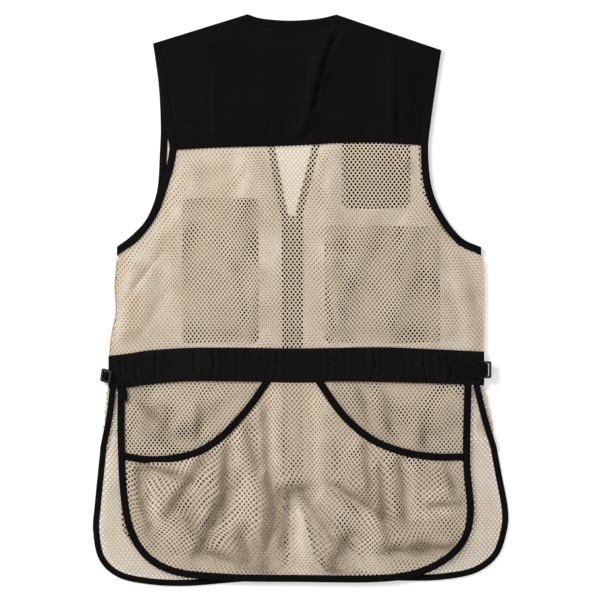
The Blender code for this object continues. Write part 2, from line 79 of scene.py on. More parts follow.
class Fold(NamedTuple):
    """A soft ridge from one place to another, with its height and half width."""

    x0: float
    y0: float
    x1: float
    y1: float
    height: float
    width: float

    @property
    def run(self) -> np.ndarray:
        """The way from its start to its end."""
        return np.array([self.x1 - self.x0, self.y1 - self.y0])

    def seen_from(self, points: np.ndarray) -> tuple[np.ndarray, np.ndarray]:
        """How far places lie beside the fold and past its ends, in its own widths."""
        run = self.run
        length = math.hypot(*run)
        away = points - (self.x0, self.y0)
        along = away @ run / length
        across = (away[:, 0] * run[1] - away[:, 1] * run[0]) / length
        past = np.maximum(0.0, np.maximum(-along, along - length))
        return across / self.width, past / (END_FADE * self.width)


class Patch(NamedTuple):
    """A rectangle of cloth with round corners."""

    name: str
    x: float
    y: float
    width: float
    height: float
    corner: float


class Side(Enum):
    """The two sides of the vest as it is seen, back up."""

    LEFT = "left"
    RIGHT = "right"


Sides = dict[Side, list[At]]


class Slot(Enum):
    """The record's material slots."""

    NET = "net"
    CLOTH = "black_cloth"
    TAPE = "binding"
    ELASTIC = "elastic"
    ZIP = "zip"
    PLASTIC = "plastic"


DOWN, TO_RIGHT, TO_LEFT = At(0, -1), At(1, 0), At(-1, 0)


def smooth_line(knots: Sequence[At], step: float) -> Line:
    """Points about one step apart on the smooth curve through some knots.

    Args:
        knots: The places that the curve passes through, in order.
        step: The distance between points, in millimetres.

    Returns:
        An array with a row for each point.
    """
    rows = np.array(knots, dtype=float)
    rows = np.vstack([2 * rows[0] - rows[1], rows, 2 * rows[-1] - rows[-2]])
    points = []
    for a, b, c, d in zip(rows, rows[1:], rows[2:], rows[3:]):
        parts = max(1, round(float(np.linalg.norm(c - b)) / step))
        t = (np.arange(parts) / parts)[:, None]
        bend = (2 * a - 5 * b + 4 * c - d) * t**2 + (3 * b - a - 3 * c + d) * t**3
        points.append(0.5 * (2 * b + (c - a) * t + bend))
    return np.vstack(points + [rows[-2]])


def moved_in(line: Line, distance: float, first: At | None = None, last: At | None = None) -> Line:
    """A line moved to its right-hand side.

    Args:
        line: The line, one row for each point.
        distance: How far it moves, in millimetres.
        first: The direction of the cut at its start, if it isn't square.
        last: The direction of the cut at its end, if it isn't square.

    Returns:
        The moved line, with as many points.
    """
    run = np.diff(line, axis=0)
    run /= np.linalg.norm(run, axis=1)[:, None]
    normals = np.stack([run[:, 1], -run[:, 0]], axis=1)
    before, after = np.vstack([normals[:1], normals]), np.vstack([normals, normals[-1:]])
    out = before + after
    out /= np.linalg.norm(out, axis=1)[:, None]
    for row, cut in ((0, first), (-1, last)):
        if cut is not None:
            out[row] = np.array(cut) / math.hypot(*cut)
    reach = distance / np.maximum(0.35, (out * before).sum(axis=1))
    return line + out * reach[:, None]


def along_line(line: Line) -> np.ndarray:
    """How far each point lies along a line, in millimetres."""
    return np.concatenate([[0.0], np.cumsum(np.linalg.norm(np.diff(line, axis=0), axis=1))])


def between(marks: np.ndarray, along: np.ndarray, line: Line) -> Line:
    """The places on a line at some marks, from the mark of each of its points."""
    return np.stack([np.interp(marks, along, part) for part in line.T], axis=1)


def resampled(line: Line, step: float) -> Line:
    """The same line with even steps, for a line of two or three numbers a point."""
    along = along_line(line)
    return between(np.linspace(0, along[-1], max(2, round(along[-1] / step) + 1)), along, line)


def closed(outline: Line) -> Line:
    """An outline with its first point again at the end."""
    return np.vstack([outline, outline[:1]])


def nearest(points: np.ndarray, line: Line) -> tuple[np.ndarray, np.ndarray]:
    """The nearest place on an open line for each of some points.

    Args:
        points: Places, one a row.
        line: The line, one point a row.

    Returns:
        The distance of each place from the line, and the nearest place on it.
    """
    best = np.full(len(points), np.inf)
    spots = np.zeros_like(points)
    for a, b in zip(line, line[1:]):
        run = b - a
        size = float(run @ run)
        if size < 1e-12:
            continue
        t = np.clip((points - a) @ run / size, 0.0, 1.0)[:, None]
        found = a + t * run
        gap = np.linalg.norm(points - found, axis=1)
        closer = gap < best
        best[closer] = gap[closer]
        spots[closer] = found[closer]
    return best, spots


def inside(points: np.ndarray, outline: Line) -> np.ndarray:
    """Which of some points lie inside a closed outline."""
    odd = np.zeros(len(points), dtype=bool)
    loop = closed(outline)
    x, y = points[:, 0], points[:, 1]
    for a, b in zip(loop, loop[1:]):
        if a[1] == b[1]:
            continue
        spans = (a[1] > y) != (b[1] > y)
        odd ^= spans & (x < (b[0] - a[0]) * (y - a[1]) / (b[1] - a[1]) + a[0])
    return odd


def area_of(outline: Line) -> float:
    """The area inside an outline, in square millimetres, negative if it runs clockwise."""
    after = np.roll(outline, -1, axis=0)
    return float((outline[:, 0] * after[:, 1] - after[:, 0] * outline[:, 1]).sum() / 2)


def ease(value: np.ndarray, full: float) -> np.ndarray:
    """0 at 0, rising softly to 1 at full."""
    t = np.clip(value / full, 0.0, 1.0)
    return t * t * (3 - 2 * t)


def ridges(points: np.ndarray, folds: Sequence[Fold]) -> np.ndarray:
    """The height of all the folds at each of some points."""
    total = np.zeros(len(points))
    for fold in folds:
        across, past = fold.seen_from(points)
        total += fold.height * np.exp(-(across**2) - past**2)
    return total


def laps(points: np.ndarray, folds: Sequence[Fold]) -> np.ndarray:
    """The height of cloth that falls over itself, up on one side of each line and low on the other."""
    total = np.zeros(len(points))
    for fold in folds:
        across, past = fold.seen_from(points)
        total += fold.height * across * np.exp(0.5 - across**2 / 2 - past**2)
    return total


def drawn_in(points: np.ndarray, folds: Sequence[Fold], share: float, slip: float) -> np.ndarray:
    """How far cloth is drawn towards its folds, seen from above, where it runs up and down their sides.

    Args:
        points: Places, one a row.
        folds: The folds.
        share: How much closer the threads lie in the middle of a fold.
        slip: How far the cloth slides along a fold, as a share of the fold's width.

    Returns:
        The way each place moves, two numbers a row.
    """
    total = np.zeros_like(points)
    for fold in folds:
        run = fold.run / math.hypot(*fold.run)
        across, past = fold.seen_from(points)
        near = fold.width * np.exp(-(across**2) / 2 - past**2)
        total += (-share * across * near)[:, None] * (run[1], -run[0]) + (slip * near)[:, None] * run
    return total


def ripple(points: np.ndarray, seed: int, length: float, count: int = 9) -> np.ndarray:
    """Uneven low waves between -1 and 1.

    Args:
        points: Places, one a row, of any number of coordinates.
        seed: Which waves.
        length: The usual length of a wave, in millimetres.
        count: How many waves are laid over each other.

    Returns:
        The height of the waves at each place.
    """
    draw = np.random.default_rng(seed)
    total = np.zeros(len(points))
    for _ in range(count):
        way = draw.normal(size=points.shape[1])
        way /= np.linalg.norm(way)
        turn = 2 * math.pi / (length * draw.uniform(0.6, 1.7))
        total += np.sin(points @ way * turn + draw.uniform(0, 2 * math.pi))
    return total / math.sqrt(count) / 1.6


class Waves(NamedTuple):
    """Uneven low waves: their height, which ones, their usual length, and how they are drawn out along Y."""

    height: float
    seed: int
    length: float
    drawn_out: float = 1.0

    def at(self, points: np.ndarray) -> np.ndarray:
        """The height of the waves at each of some places."""
        return self.height * ripple(points * (1, self.drawn_out), self.seed, self.length)


class Pull(NamedTuple):
    """How a net is pulled out of square: which waves, how far, how long they are, and its draw into folds."""

    seed: int
    size: float
    length: float
    draw: float = 0.3


def box_outline(patch: Patch, turns: int = 6) -> Line:
    """The outline of a rectangle with round corners."""
    points = []
    for quarter, (sx, sy) in enumerate([(1, 1), (-1, 1), (-1, -1), (1, -1)]):
        middle_x = patch.x + sx * (patch.width / 2 - patch.corner)
        middle_y = patch.y + sy * (patch.height / 2 - patch.corner)
        for part in range(turns + 1):
            angle = math.radians(90 * (quarter + part / turns))
            way = At(math.cos(angle), math.sin(angle))
            points.append((middle_x + patch.corner * way.x, middle_y + patch.corner * way.y))
    return np.array(points)


def faced(side: Side, line: Line) -> Line:
    """A line drawn for the left side, on the side where it belongs, and the other way round."""
    return line if side is Side.LEFT else line * (-1, 1)


def level(height: float, points: np.ndarray) -> np.ndarray:
    """The same height at every place."""
    return np.full(len(points), height)


def pick(*pieces: bpy.types.Object) -> None:
    """Leaves only these pieces selected, in object mode, the first of them active."""
    if bpy.context.object and bpy.context.object.mode != "OBJECT":
        bpy.ops.object.mode_set(mode="OBJECT")
    bpy.ops.object.select_all(action="DESELECT")
    for piece in pieces:
        piece.select_set(True)
    if pieces:
        bpy.context.view_layer.objects.active = pieces[0]


def scaled(spot: Spot) -> list[float]:
    """Millimetres as metres."""
    return [part * MM for part in spot]


def block(name: str, size: Spot, at: Spot) -> bpy.types.Object:
    """A cube primitive of a given size and place, both in millimetres."""
    pick()
    bpy.ops.mesh.primitive_cube_add(size=1.0, location=scaled(at))
    made = bpy.context.object
    made.name = name
    made.scale = scaled(size)
    bpy.ops.object.transform_apply(location=True, rotation=True, scale=True)
    return made


def modified(piece: bpy.types.Object, kind: str, **values: object) -> None:
    """Puts a modifier on the active piece and applies it."""
    change = piece.modifiers.new(kind.lower(), kind)
    for name, value in values.items():
        setattr(change, name, value)
    bpy.ops.object.modifier_apply(modifier=change.name)


@contextmanager
def edited(piece: bpy.types.Object) -> Iterator[bmesh.types.BMesh]:
    """A piece's mesh as one that can be changed, put back at the end."""
    work = bmesh.new()
    work.from_mesh(piece.data)
    yield work
    work.to_mesh(piece.data)
    work.free()


def cut_of(outline: Line) -> tuple[np.ndarray, float]:
    """The width and length, in metres, and the area, in square metres, of a flat cut."""
    return np.ptp(outline, axis=0) * MM, abs(area_of(outline)) * MM**2


def new_piece(name: str, points: np.ndarray, faces: list | np.ndarray) -> bpy.types.Object:
    """A mesh object from places in millimetres, shaded smooth.

    Args:
        name: The piece's name.
        points: Three numbers a row, in millimetres.
        faces: The corners of each face, as rows of points.

    Returns:
        The object, linked to the scene, with its place in its mesh.
    """
    mesh = bpy.data.meshes.new(name)
    mesh.from_pydata((points * MM).tolist(), [], faces if isinstance(faces, list) else faces.tolist())
    mesh.polygons.foreach_set("use_smooth", [True] * len(mesh.polygons))
    mesh.update()
    piece = bpy.data.objects.new(name, mesh)
    bpy.context.scene.collection.objects.link(piece)
    return piece


def dress(piece: bpy.types.Object, finish: bpy.types.Material, slot: Slot, *nodes: str) -> bpy.types.Object:
    """Gives a piece its finish and its place in the frame.

    Args:
        piece: The piece.
        finish: Its material.
        slot: The record's slot that the finish belongs to; not used.
        *nodes: The solids that the piece stands for.

    Returns:
        The same piece.
    """
    piece.data.materials.clear()
    piece.data.materials.append(finish)
    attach(piece, "root")
    if nodes:
        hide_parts(*nodes)
    triangles = sum(len(face.vertices) - 2 for face in piece.data.polygons)
    log.info("%s: %d triangles", piece.name, triangles)
    return piece


@dataclass(frozen=True)
class Layers:
    """Heights above the table: the cloth, the gaps, and the top of each flat layer."""

    cloth: float = 1.2
    gap: float = 0.3
    belt: float = 1.5

    @property
    def front(self) -> float:
        """Top of the fronts."""
        return 2 * self.cloth + self.gap

    @property
    def back(self) -> float:
        """Top of the back and its yoke."""
        return self.front + self.gap + self.cloth

    @property
    def pouch(self) -> float:
        """Top of the pouch where it is held down."""
        return self.back + self.gap + self.cloth

    @property
    def over_back(self) -> float:
        """Underside of what lies on the back."""
        return self.back + self.gap

    @property
    def over_front(self) -> float:
        """Underside of what lies on the fronts."""
        return self.front + self.gap

    @property
    def strap(self) -> float:
        """Underside of the straps and buckles on the belt."""
        return self.over_back + self.belt + self.gap


@dataclass(frozen=True)
class Pattern:
    """The cut of the vest as it lies: every edge, along the outside of its tape."""

    tape_width: float = 10.0
    seam: float = 0.3
    step: float = 3.0
    armholes_back: Sides = field(default_factory=lambda: {
        Side.LEFT: [
            At(-199, 346), At(-191.5, 297), At(-183.5, 245), At(-178.6, 216), At(-177, 203), At(-181, 180),
            At(-186.3, 163), At(-201, 121), At(-224, 89), At(-247.5, 72),
        ],
        Side.RIGHT: [
            At(190, 337), At(182.3, 286), At(175.8, 240), At(172.3, 202), At(176.8, 153.5), At(191.7, 116.8),
            At(216.4, 84.8), At(243.6, 71.2),
        ],
    })
    armholes_front: Sides = field(default_factory=lambda: {
        Side.LEFT: [
            At(-199, 346), At(-191.5, 290), At(-188.8, 236), At(-190, 198), At(-193.5, 148.5), At(-207, 111),
            At(-227, 88), At(-247.5, 72),
        ],
        Side.RIGHT: [
            At(190, 337), At(180.2, 277), At(171.8, 223), At(170, 189), At(176, 145.5), At(192.8, 111.2),
            At(216.4, 83.4), At(243.6, 71.2),
        ],
    })
    neck: list[At] = field(default_factory=lambda: [
        At(-71.5, 385.5), At(-51, 379.6), At(-13.5, 376.9), At(24, 379.6), At(48.5, 385),
    ])
    neck_v: Sides = field(default_factory=lambda: {
        Side.LEFT: [At(-71.5, 385.5), At(-55, 300), At(-35, 208), At(-20.2, 131), At(-15.1, 112)],
        Side.RIGHT: [At(48.5, 385), At(31, 295), At(15.5, 208), At(-3.5, 131), At(-6.5, 112)],
    })
    yoke_seam: list[At] = field(default_factory=lambda: [
        At(-190, 201.5), At(-94.5, 206), At(-13.5, 208), At(54, 211.5), At(108, 212), At(180, 207.5),
    ])
    belt_upper: list[At] = field(default_factory=lambda: [
        At(-259, -75.5), At(-232, -72), At(-200, -67.5), At(-135, -64), At(0, -65), At(108, -63.5),
        At(175.5, -66), At(247.5, -69.5),
    ])
    belt_lower: list[At] = field(default_factory=lambda: [
        At(-259, -119.4), At(-236, -118.7), At(-214, -115.4), At(-184, -112), At(-135, -109.5), At(0, -111.5),
        At(60, -110), At(175.5, -112.5), At(247.5, -115.5),
    ])
    hem_back: list[At] = field(default_factory=lambda: [
        At(230.8, -114.3), At(229, -216), At(234, -286.4), At(224.2, -326), At(197, -354.4),
        At(155.5, -373.4), At(101, -380.6), At(0, -380.4), At(-94.5, -379), At(-167, -371.6),
        At(-208.6, -350.4), At(-232.4, -314.6), At(-243, -263.3), At(-246.7, -189), At(-246.7, -118.6),
    ])
    hem_front: Sides = field(default_factory=lambda: {
        Side.LEFT: [
            At(-14.5, -345), At(-25, -366), At(-51, -377), At(-101, -382), At(-155, -386), At(-202.5, -384),
            At(-245.5, -374.5), At(-271.5, -351), At(-280, -312), At(-277.6, -274), At(-271, -208),
            At(-269.6, -196), At(-262, -157), At(-257.5, -118.8),
        ],
        Side.RIGHT: [
            At(18.5, -345), At(34, -366), At(81, -376), At(148.5, -379), At(196, -377), At(237.5, -368),
            At(266, -346), At(278.5, -312), At(280, -282), At(271.5, -235), At(266.5, -208), At(264, -196),
            At(251.5, -155), At(241.8, -114.9),
        ],
    })
    openings: Sides = field(default_factory=lambda: {
        Side.LEFT: [
            At(-51.6, -110.6), At(-68.2, -134.6), At(-85.8, -156), At(-106.2, -177.4), At(-128.4, -194),
            At(-151, -204), At(-182, -209.5), At(-209, -210), At(-236.8, -205.7),
        ],
        Side.RIGHT: [
            At(31.5, -110.4), At(48, -134.8), At(65.4, -156.2), At(88.4, -176.6), At(114.6, -191.4),
            At(148.5, -202), At(183.5, -206.5), At(219.4, -206.5),
        ],
    })
    sides: Sides = field(default_factory=lambda: {
        Side.LEFT: [
            At(-249, 52), At(-251.5, 20), At(-250, -15), At(-254.5, -40), At(-258, -64), At(-259, -112),
        ],
        Side.RIGHT: [At(247.5, 52), At(248.5, 20), At(248.5, -25), At(248, -66), At(248, -112)],
    })
    vents: Sides = field(default_factory=lambda: {
        Side.LEFT: [At(-262.2, -121), At(-263.2, -138), At(-265.4, -165)],
        Side.RIGHT: [At(249.5, -119), At(254, -136), At(260, -165)],
    })
    vent_foot: float = -186.0
    zip_foot: float = -252.0
    zip_top: float = 105.0

    def curve(self, knots: Sequence[At]) -> Line:
        """The smooth curve through some of its places, in its own steps."""
        return smooth_line(knots, self.step)

    def cut_along_shoulder(self, side: Side, to_neck: bool) -> At:
        """The direction of a shoulder seam, to the neck or from it."""
        neck = self.neck[0] if side is Side.LEFT else self.neck[-1]
        arm = self.armholes_back[side][0]
        sign = 1 if to_neck else -1
        return At(sign * (neck.x - arm.x), sign * (neck.y - arm.y))

    def armhole_back(self, side: Side, inset: float) -> Line:
        """The back's armhole edge moved in: up on the left, down on the right."""
        line = self.curve(self.armholes_back[side])
        seam = self.cut_along_shoulder(side, to_neck=True)
        if side is Side.LEFT:
            return moved_in(line[::-1], inset, DOWN, seam)
        return moved_in(line, inset, seam, DOWN)

    def neck_back(self, inset: float) -> Line:
        """The back of the neck moved in, from left to right."""
        cuts = [self.cut_along_shoulder(side, to_neck=False) for side in Side]
        return moved_in(self.curve(self.neck), inset, *cuts)

    def hem(self, inset: float) -> Line:
        """The back's hem moved in, from the right vent to the left one."""
        return moved_in(self.curve(self.hem_back), inset, TO_LEFT, TO_RIGHT)

    def opening(self, side: Side, inset: float) -> Line:
        """A pouch opening: up on the left, down on the right, moved towards the pouch."""
        line = self.curve(self.openings[side])
        if side is Side.LEFT:
            return moved_in(line[::-1], inset, DOWN, TO_RIGHT)
        return moved_in(line, inset, TO_LEFT, DOWN)

    def pouch(self, inset: float, hem_inset: float) -> Line:
        """The pouch: its left opening, the belt, its right opening and the hem."""
        left, right = self.opening(Side.LEFT, inset), self.opening(Side.RIGHT, inset)
        hem = self.hem(hem_inset)
        foot = min(left[0, 1], right[-1, 1]) - 1
        return np.vstack([left, right, hem[hem[:, 1] < foot]])

    def belt(self, step: float = 3.0) -> tuple[Line, Line]:
        """The belt's upper and lower edges, from left to right."""
        return smooth_line(self.belt_upper, step), smooth_line(self.belt_lower, step)

    def seam_between(self, left: Line, right: Line, lift: float) -> Line:
        """The stretch of the yoke seam between two armhole edges, raised a little."""
        seam = self.curve(self.yoke_seam) + (0, lift)
        start, end = (float(np.interp(0, edge[:, 1] - self.seam_height(edge, lift), edge[:, 0]))
                      for edge in (left, right[::-1]))
        return seam[(seam[:, 0] > start + 1) & (seam[:, 0] < end - 1)]

    def seam_height(self, edge: Line, lift: float) -> np.ndarray:
        """The height of the yoke seam below or above each point of an edge."""
        seam = self.curve(self.yoke_seam)
        return np.interp(edge[:, 0], seam[:, 0], seam[:, 1]) + lift

    def parted_by_seam(self, edge: Line, above: bool, lift: float) -> Line:
        """The part of an armhole edge above or below the yoke seam."""
        over = edge[:, 1] > self.seam_height(edge, lift)
        return edge[over] if above else edge[~over]

    def yoke(self, inset: float, lift: float) -> Line:
        """The yoke's outline."""
        left, right = self.armhole_back(Side.LEFT, inset), self.armhole_back(Side.RIGHT, inset)
        seam = self.seam_between(left, right, lift)
        upper = [self.parted_by_seam(edge, True, lift) for edge in (left, right)]
        return np.vstack([upper[0], self.neck_back(inset), upper[1], seam[::-1]])

    def back(self, inset: float, lift: float) -> Line:
        """The outline of the back below the yoke, which runs a little way in under the yoke."""
        left, right = self.armhole_back(Side.LEFT, inset), self.armhole_back(Side.RIGHT, inset)
        seam = self.seam_between(left, right, lift)
        lower = [self.parted_by_seam(edge, False, lift) for edge in (left, right)]
        sides = [self.curve(self.sides[side]) for side in Side]
        return np.vstack([lower[0], seam, lower[1], sides[1], self.hem(inset), sides[0][::-1]])

    def front_edges(self, side: Side) -> dict[str, Line]:
        """A front's edges, drawn as the left one: armhole up, neck and zip down, hem to the vent."""
        armhole = faced(side, self.curve(self.armholes_front[side]))[::-1]
        neck = faced(side, self.curve(self.neck_v[side]))
        hem = faced(side, self.curve(self.hem_front[side]))
        gap = (0, self.seam / 2)
        foot = np.array([neck[-1, 0], self.zip_foot])
        zip_run = resampled(np.vstack([neck[-1], foot + gap]), self.step)[1:]
        return {
            "armhole": armhole,
            "upper": np.vstack([neck, zip_run]),
            "lower": np.vstack([foot - gap, hem]),
            "side": faced(side, self.curve(self.sides[side])),
            "vent": faced(side, self.curve(self.vents[side])),
        }

    def front_moved(self, side: Side, name: str, inset: float) -> Line:
        """One of a front's taped edges moved in, drawn as the left one."""
        edges = self.front_edges(side)
        line = edges[name]
        along = edges["upper"][0] - edges["armhole"][-1]
        if name == "armhole":
            return moved_in(line, inset, DOWN, At(*along))
        if name == "upper":
            return moved_in(line, inset, At(*-along), TO_LEFT)
        return moved_in(line, inset, TO_LEFT, TO_RIGHT)

    def front(self, side: Side, inset: float) -> Line:
        """A front's outline, out to the fold beside its vent."""
        edges = self.front_edges(side)
        lower = self.front_moved(side, "lower", inset)
        hem = lower[lower[:, 1] < self.vent_foot]
        outer = edges["lower"][edges["lower"][:, 1] < self.vent_foot][-1:]
        upper = [self.front_moved(side, name, inset) for name in ("armhole", "upper")]
        outline = np.vstack([*upper, hem, outer, edges["vent"][::-1], edges["side"][::-1]])
        return faced(side, outline)


@dataclass(frozen=True)
class Relief:
    """How far the loose cloth rises off what lies under it, in listed folds."""

    layers: Layers
    pattern: Pattern
    edge_fade: float = 26.0
    lift_fade: float = 60.0
    back_loft: float = 2.5
    yoke_loft: float = 1.5
    opening_lift: float = 1.8
    pouch_bulge: float = 0.2
    fine_fade: float = 9.0
    belt_fade: tuple[float, float] = (8.0, 3.0)
    dip: float = -0.7
    pouch_share: float = 0.35
    crease_share: float = 1.2
    yoke_waves: tuple[Waves, Waves] = (Waves(0.5, 3, 46), Waves(0.4, 13, 20, 0.12))
    back_waves: Waves = Waves(0.45, 5, 52)
    pouch_waves: Waves = Waves(0.6, 7, 34)
    lap_waves: Waves = Waves(0.3, 19, 30)
    # Painted shade in the nets' laps and painted light on the pouch's fold ridges, put into the net's colour.
    painted_shading_waves: Waves = Waves(0.4, 17, 38)
    painted_shade_height: float = 11.0
    painted_shade_widths: tuple[float, float] = (0.8, 2.0)
    painted_light_height: float = 5.0
    painted_light_share: float = 0.5
    painted_shading_range: tuple[float, float] = (-0.5, 0.85)
    fold_slip: float = 0.25
    crease_reach: float = 1.5
    crease_draw: float = 0.45
    crease_slip: float = 0.5
    tape_dip: float = 0.8
    tape_fade: float = 6.0
    yoke_folds: tuple[Fold, ...] = (
        Fold(46, 372, 24, 308, 4.0, 13), Fold(24, 308, 9, 240, 5.0, 11), Fold(9, 240, -6, 214, 3.5, 12),
        Fold(-121, 300, -115, 222, 3.0, 13), Fold(125, 330, 122, 216, 3.5, 9),
        Fold(-52, 300, -42, 222, 2.0, 16), Fold(-160, 250, -150, 214, 2.0, 14),
        Fold(70, 280, 62, 222, 2.0, 15),
    )
    back_folds: tuple[Fold, ...] = (
        Fold(-222, 60, -240, -50, 3.5, 11), Fold(-196, 84, -214, -40, 3.0, 12),
        Fold(-150, 170, -166, 40, 2.5, 16), Fold(-66, 200, -84, 60, 3.5, 14),
        Fold(-62, 40, -66, -56, 3.0, 13), Fold(38, 196, 42, 60, 3.5, 13), Fold(44, 40, 52, -54, 3.0, 13),
        Fold(126, 206, 156, 168, 5.0, 8), Fold(96, 110, 60, 10, 3.0, 15), Fold(150, 90, 128, -30, 3.0, 15),
        Fold(206, 78, 232, -30, 4.0, 12), Fold(180, 60, 196, -40, 3.0, 12),
        Fold(-190, -130, -226, -178, 3.0, 12), Fold(-120, -126, -160, -176, 2.5, 14),
        Fold(110, -128, 128, -166, 2.5, 14), Fold(190, -130, 176, -180, 3.0, 13),
    )
    pouch_folds: tuple[Fold, ...] = (
        Fold(-34, -130, -33, -230, 5.0, 9), Fold(26, -140, 27, -262, 5.0, 9), Fold(1, -296, 3, -364, 5.0, 11),
        Fold(-72, -262, -76, -300, 6.5, 13), Fold(-84, -300, -118, -314, 4.0, 9),
        Fold(98, -300, 99, -352, 5.0, 12), Fold(-200, -258, -200, -290, 5.0, 10),
        Fold(-190, -300, -170, -326, 3.5, 9), Fold(172, -292, 196, -290, 4.0, 8),
        Fold(176, -262, 206, -258, 4.0, 6), Fold(-84, -186, -84, -216, 4.0, 8),
        Fold(70, -206, 62, -244, 3.0, 9), Fold(-150, -216, -140, -250, 3.0, 9),
        Fold(60, -290, 76, -306, 3.5, 9), Fold(152, -226, 154, -290, 3.0, 8),
        Fold(116, -222, 124, -214, 3.0, 7),
    )
    pouch_laps: tuple[Fold, ...] = (
        Fold(-138, -220, -178, -283, 3.6, 7.5), Fold(-102, -206, -105, -262, 4.2, 6.5),
        Fold(-105, -262, -118, -294, 5.4, 9.0), Fold(-120, -296, -140, -337, 4.2, 7.0),
        Fold(-73, -182, -59, -234, 3.0, 5.5), Fold(-50, -153, -46, -234, 3.4, 5.5),
        Fold(-46, -240, -39, -276, 4.6, 7.0), Fold(-39, -278, -42, -306, 5.4, 10.0),
        Fold(-44, -310, -50, -351, 4.0, 7.0), Fold(-20, -258, 0, -254, -4.6, 8.0),
        Fold(-14, -262, -26, -332, 4.0, 7.0), Fold(6, -268, 40, -320, -4.2, 6.5),
        Fold(49, -250, 107, -288, -5.0, 6.5), Fold(85, -196, 91, -247, 3.2, 6.0),
        Fold(107, -286, 116, -320, 3.6, 6.0), Fold(106, -226, 110, -280, 2.6, 5.0),
        Fold(132, -220, 139, -288, 3.8, 7.0), Fold(60, -326, 50, -350, 5.4, 10.0),
        Fold(-80, -324, -72, -344, 5.2, 10.0), Fold(-124, -342, -98, -348, -5.0, 8.0),
        Fold(122, -336, 150, -338, -4.8, 8.0), Fold(158, -332, 196, -334, -5.0, 8.0),
        Fold(199, -234, 204, -250, 4.0, 7.0), Fold(178, -276, 208, -275, -3.2, 4.5),
        Fold(-218, -232, -216, -262, 4.4, 7.0), Fold(-214, -272, -206, -304, 3.6, 7.0),
        Fold(-204, -226, -166, -236, -4.2, 7.0), Fold(-158, -290, -146, -306, 3.0, 10.0),
        Fold(-52, -352, -44, -362, 3.6, 8.0), Fold(40, -352, 48, -360, 3.6, 8.0),
    )
    back_laps: tuple[Fold, ...] = (
        Fold(-210, -146, -190, -164, 5.5, 10.0), Fold(-138, -150, -138, -180, 2.2, 6.0),
        Fold(80, -128, 92, -168, 2.6, 9.0), Fold(112, -130, 120, -184, 2.4, 8.0),
        Fold(164, -176, 166, -194, 3.4, 8.0),
    )
    creases_yoke: tuple[Fold, ...] = (
        Fold(55, 374, 44, 348, -1.8, 4.5), Fold(44, 348, 31, 314, -2.6, 4.5),
        Fold(31, 314, 23, 284, -2.8, 4.0), Fold(23, 284, 20, 262, -2.6, 4.0),
        Fold(20, 262, 6, 218, -1.8, 6.0), Fold(132, 320, 131, 250, -1.2, 3.5),
        Fold(131, 250, 131, 213, -2.4, 3.2), Fold(-123, 300, -123, 214, -1.0, 4.0),
        Fold(-43, 234, -45, 214, -1.4, 3.5), Fold(-22, 236, -24, 212, -1.2, 3.5),
        Fold(-158, 236, -160, 212, -1.2, 3.5), Fold(88, 240, 92, 214, -1.0, 4.5),
        Fold(160, 300, 150, 240, -1.0, 5.0),
    )
    creases_back: tuple[Fold, ...] = (
        Fold(126, 208, 137, 190, -2.6, 3.5), Fold(137, 192, 153, 172, -2.2, 3.5),
        Fold(118, 206, 128, 186, -1.4, 3.5), Fold(188, 54, 214, 26, -1.8, 4.0),
        Fold(200, 44, 238, -2, -2.0, 4.5), Fold(186, 20, 226, -34, -1.6, 5.0),
        Fold(-190, 60, -222, 20, -1.8, 4.5), Fold(-206, 40, -238, -6, -1.8, 4.5),
        Fold(-180, 10, -214, -44, -1.4, 5.0),
    )

    def yoke(self, points: np.ndarray) -> np.ndarray:
        """Height of the yoke's cloth."""
        away, _ = nearest(points, closed(self.pattern.yoke(self.pattern.tape_width, 0.0)))
        folds = ridges(points, self.yoke_folds)
        fine = self.crease_share * ridges(points, self.creases_yoke)
        for waves in self.yoke_waves:
            fine += waves.at(points)
        rise = ease(away, self.edge_fade) * (self.yoke_loft + folds) + ease(away, self.fine_fade) * fine
        return np.maximum(self.layers.back + rise, self.layers.front + self.layers.cloth)

    def back(self, points: np.ndarray) -> np.ndarray:
        """Height of the back's net, which lies flat under the belt and the pouch."""
        upper, lower = self.pattern.belt()
        belt = np.vstack([upper, lower[::-1]])
        width = self.pattern.tape_width
        pouch = self.pattern.pouch(-width / 2, width)
        away = nearest(points, closed(self.pattern.back(width, 0.0)))[0]
        held = np.minimum(nearest(points, closed(belt))[0], nearest(points, closed(pouch))[0])
        held[inside(points, belt) | inside(points, pouch)] = 0.0
        folds = self.back_loft + ridges(points, self.back_folds)
        fine = ridges(points, self.creases_back) + laps(points, self.back_laps) + self.back_waves.at(points)
        flat, near = self.belt_fade
        rise = ease(held - flat, self.edge_fade) * ease(away, self.edge_fade) * folds
        rise += ease(held - near, self.fine_fade) * ease(away, self.fine_fade) * fine
        return self.layers.back - self.layers.gap + np.maximum(rise, self.dip)

    def pouch_lift(self, points: np.ndarray) -> np.ndarray:
        """How far the pouch stands off the back: nothing at the hem and the belt."""
        openings = [self.pattern.opening(side, 0.0) for side in Side]
        head = np.vstack([openings[0][-1], openings[1][0]])
        hem = self.pattern.hem(self.pattern.tape_width)
        held = np.minimum(nearest(points, hem)[0], nearest(points, head)[0])
        away = np.minimum(*(nearest(points, line)[0] for line in openings))
        swell = self.pouch_bulge * ease(away, 2 * self.edge_fade)
        return ease(held, self.lift_fade) * (self.opening_lift + swell)

    def pouch(self, points: np.ndarray) -> np.ndarray:
        """Height of the pouch's net."""
        width = self.pattern.tape_width
        away = nearest(points, closed(self.pattern.pouch(width / 2, width)))[0]
        fine = laps(points, self.pouch_laps) * (0.8 + self.lap_waves.at(points)) + self.pouch_waves.at(points)
        rise = self.pouch_share * ease(away, self.edge_fade) * ridges(points, self.pouch_folds)
        rise += ease(away, width) * fine
        return self.layers.pouch - self.layers.gap + np.maximum(self.pouch_lift(points) + rise, self.dip)

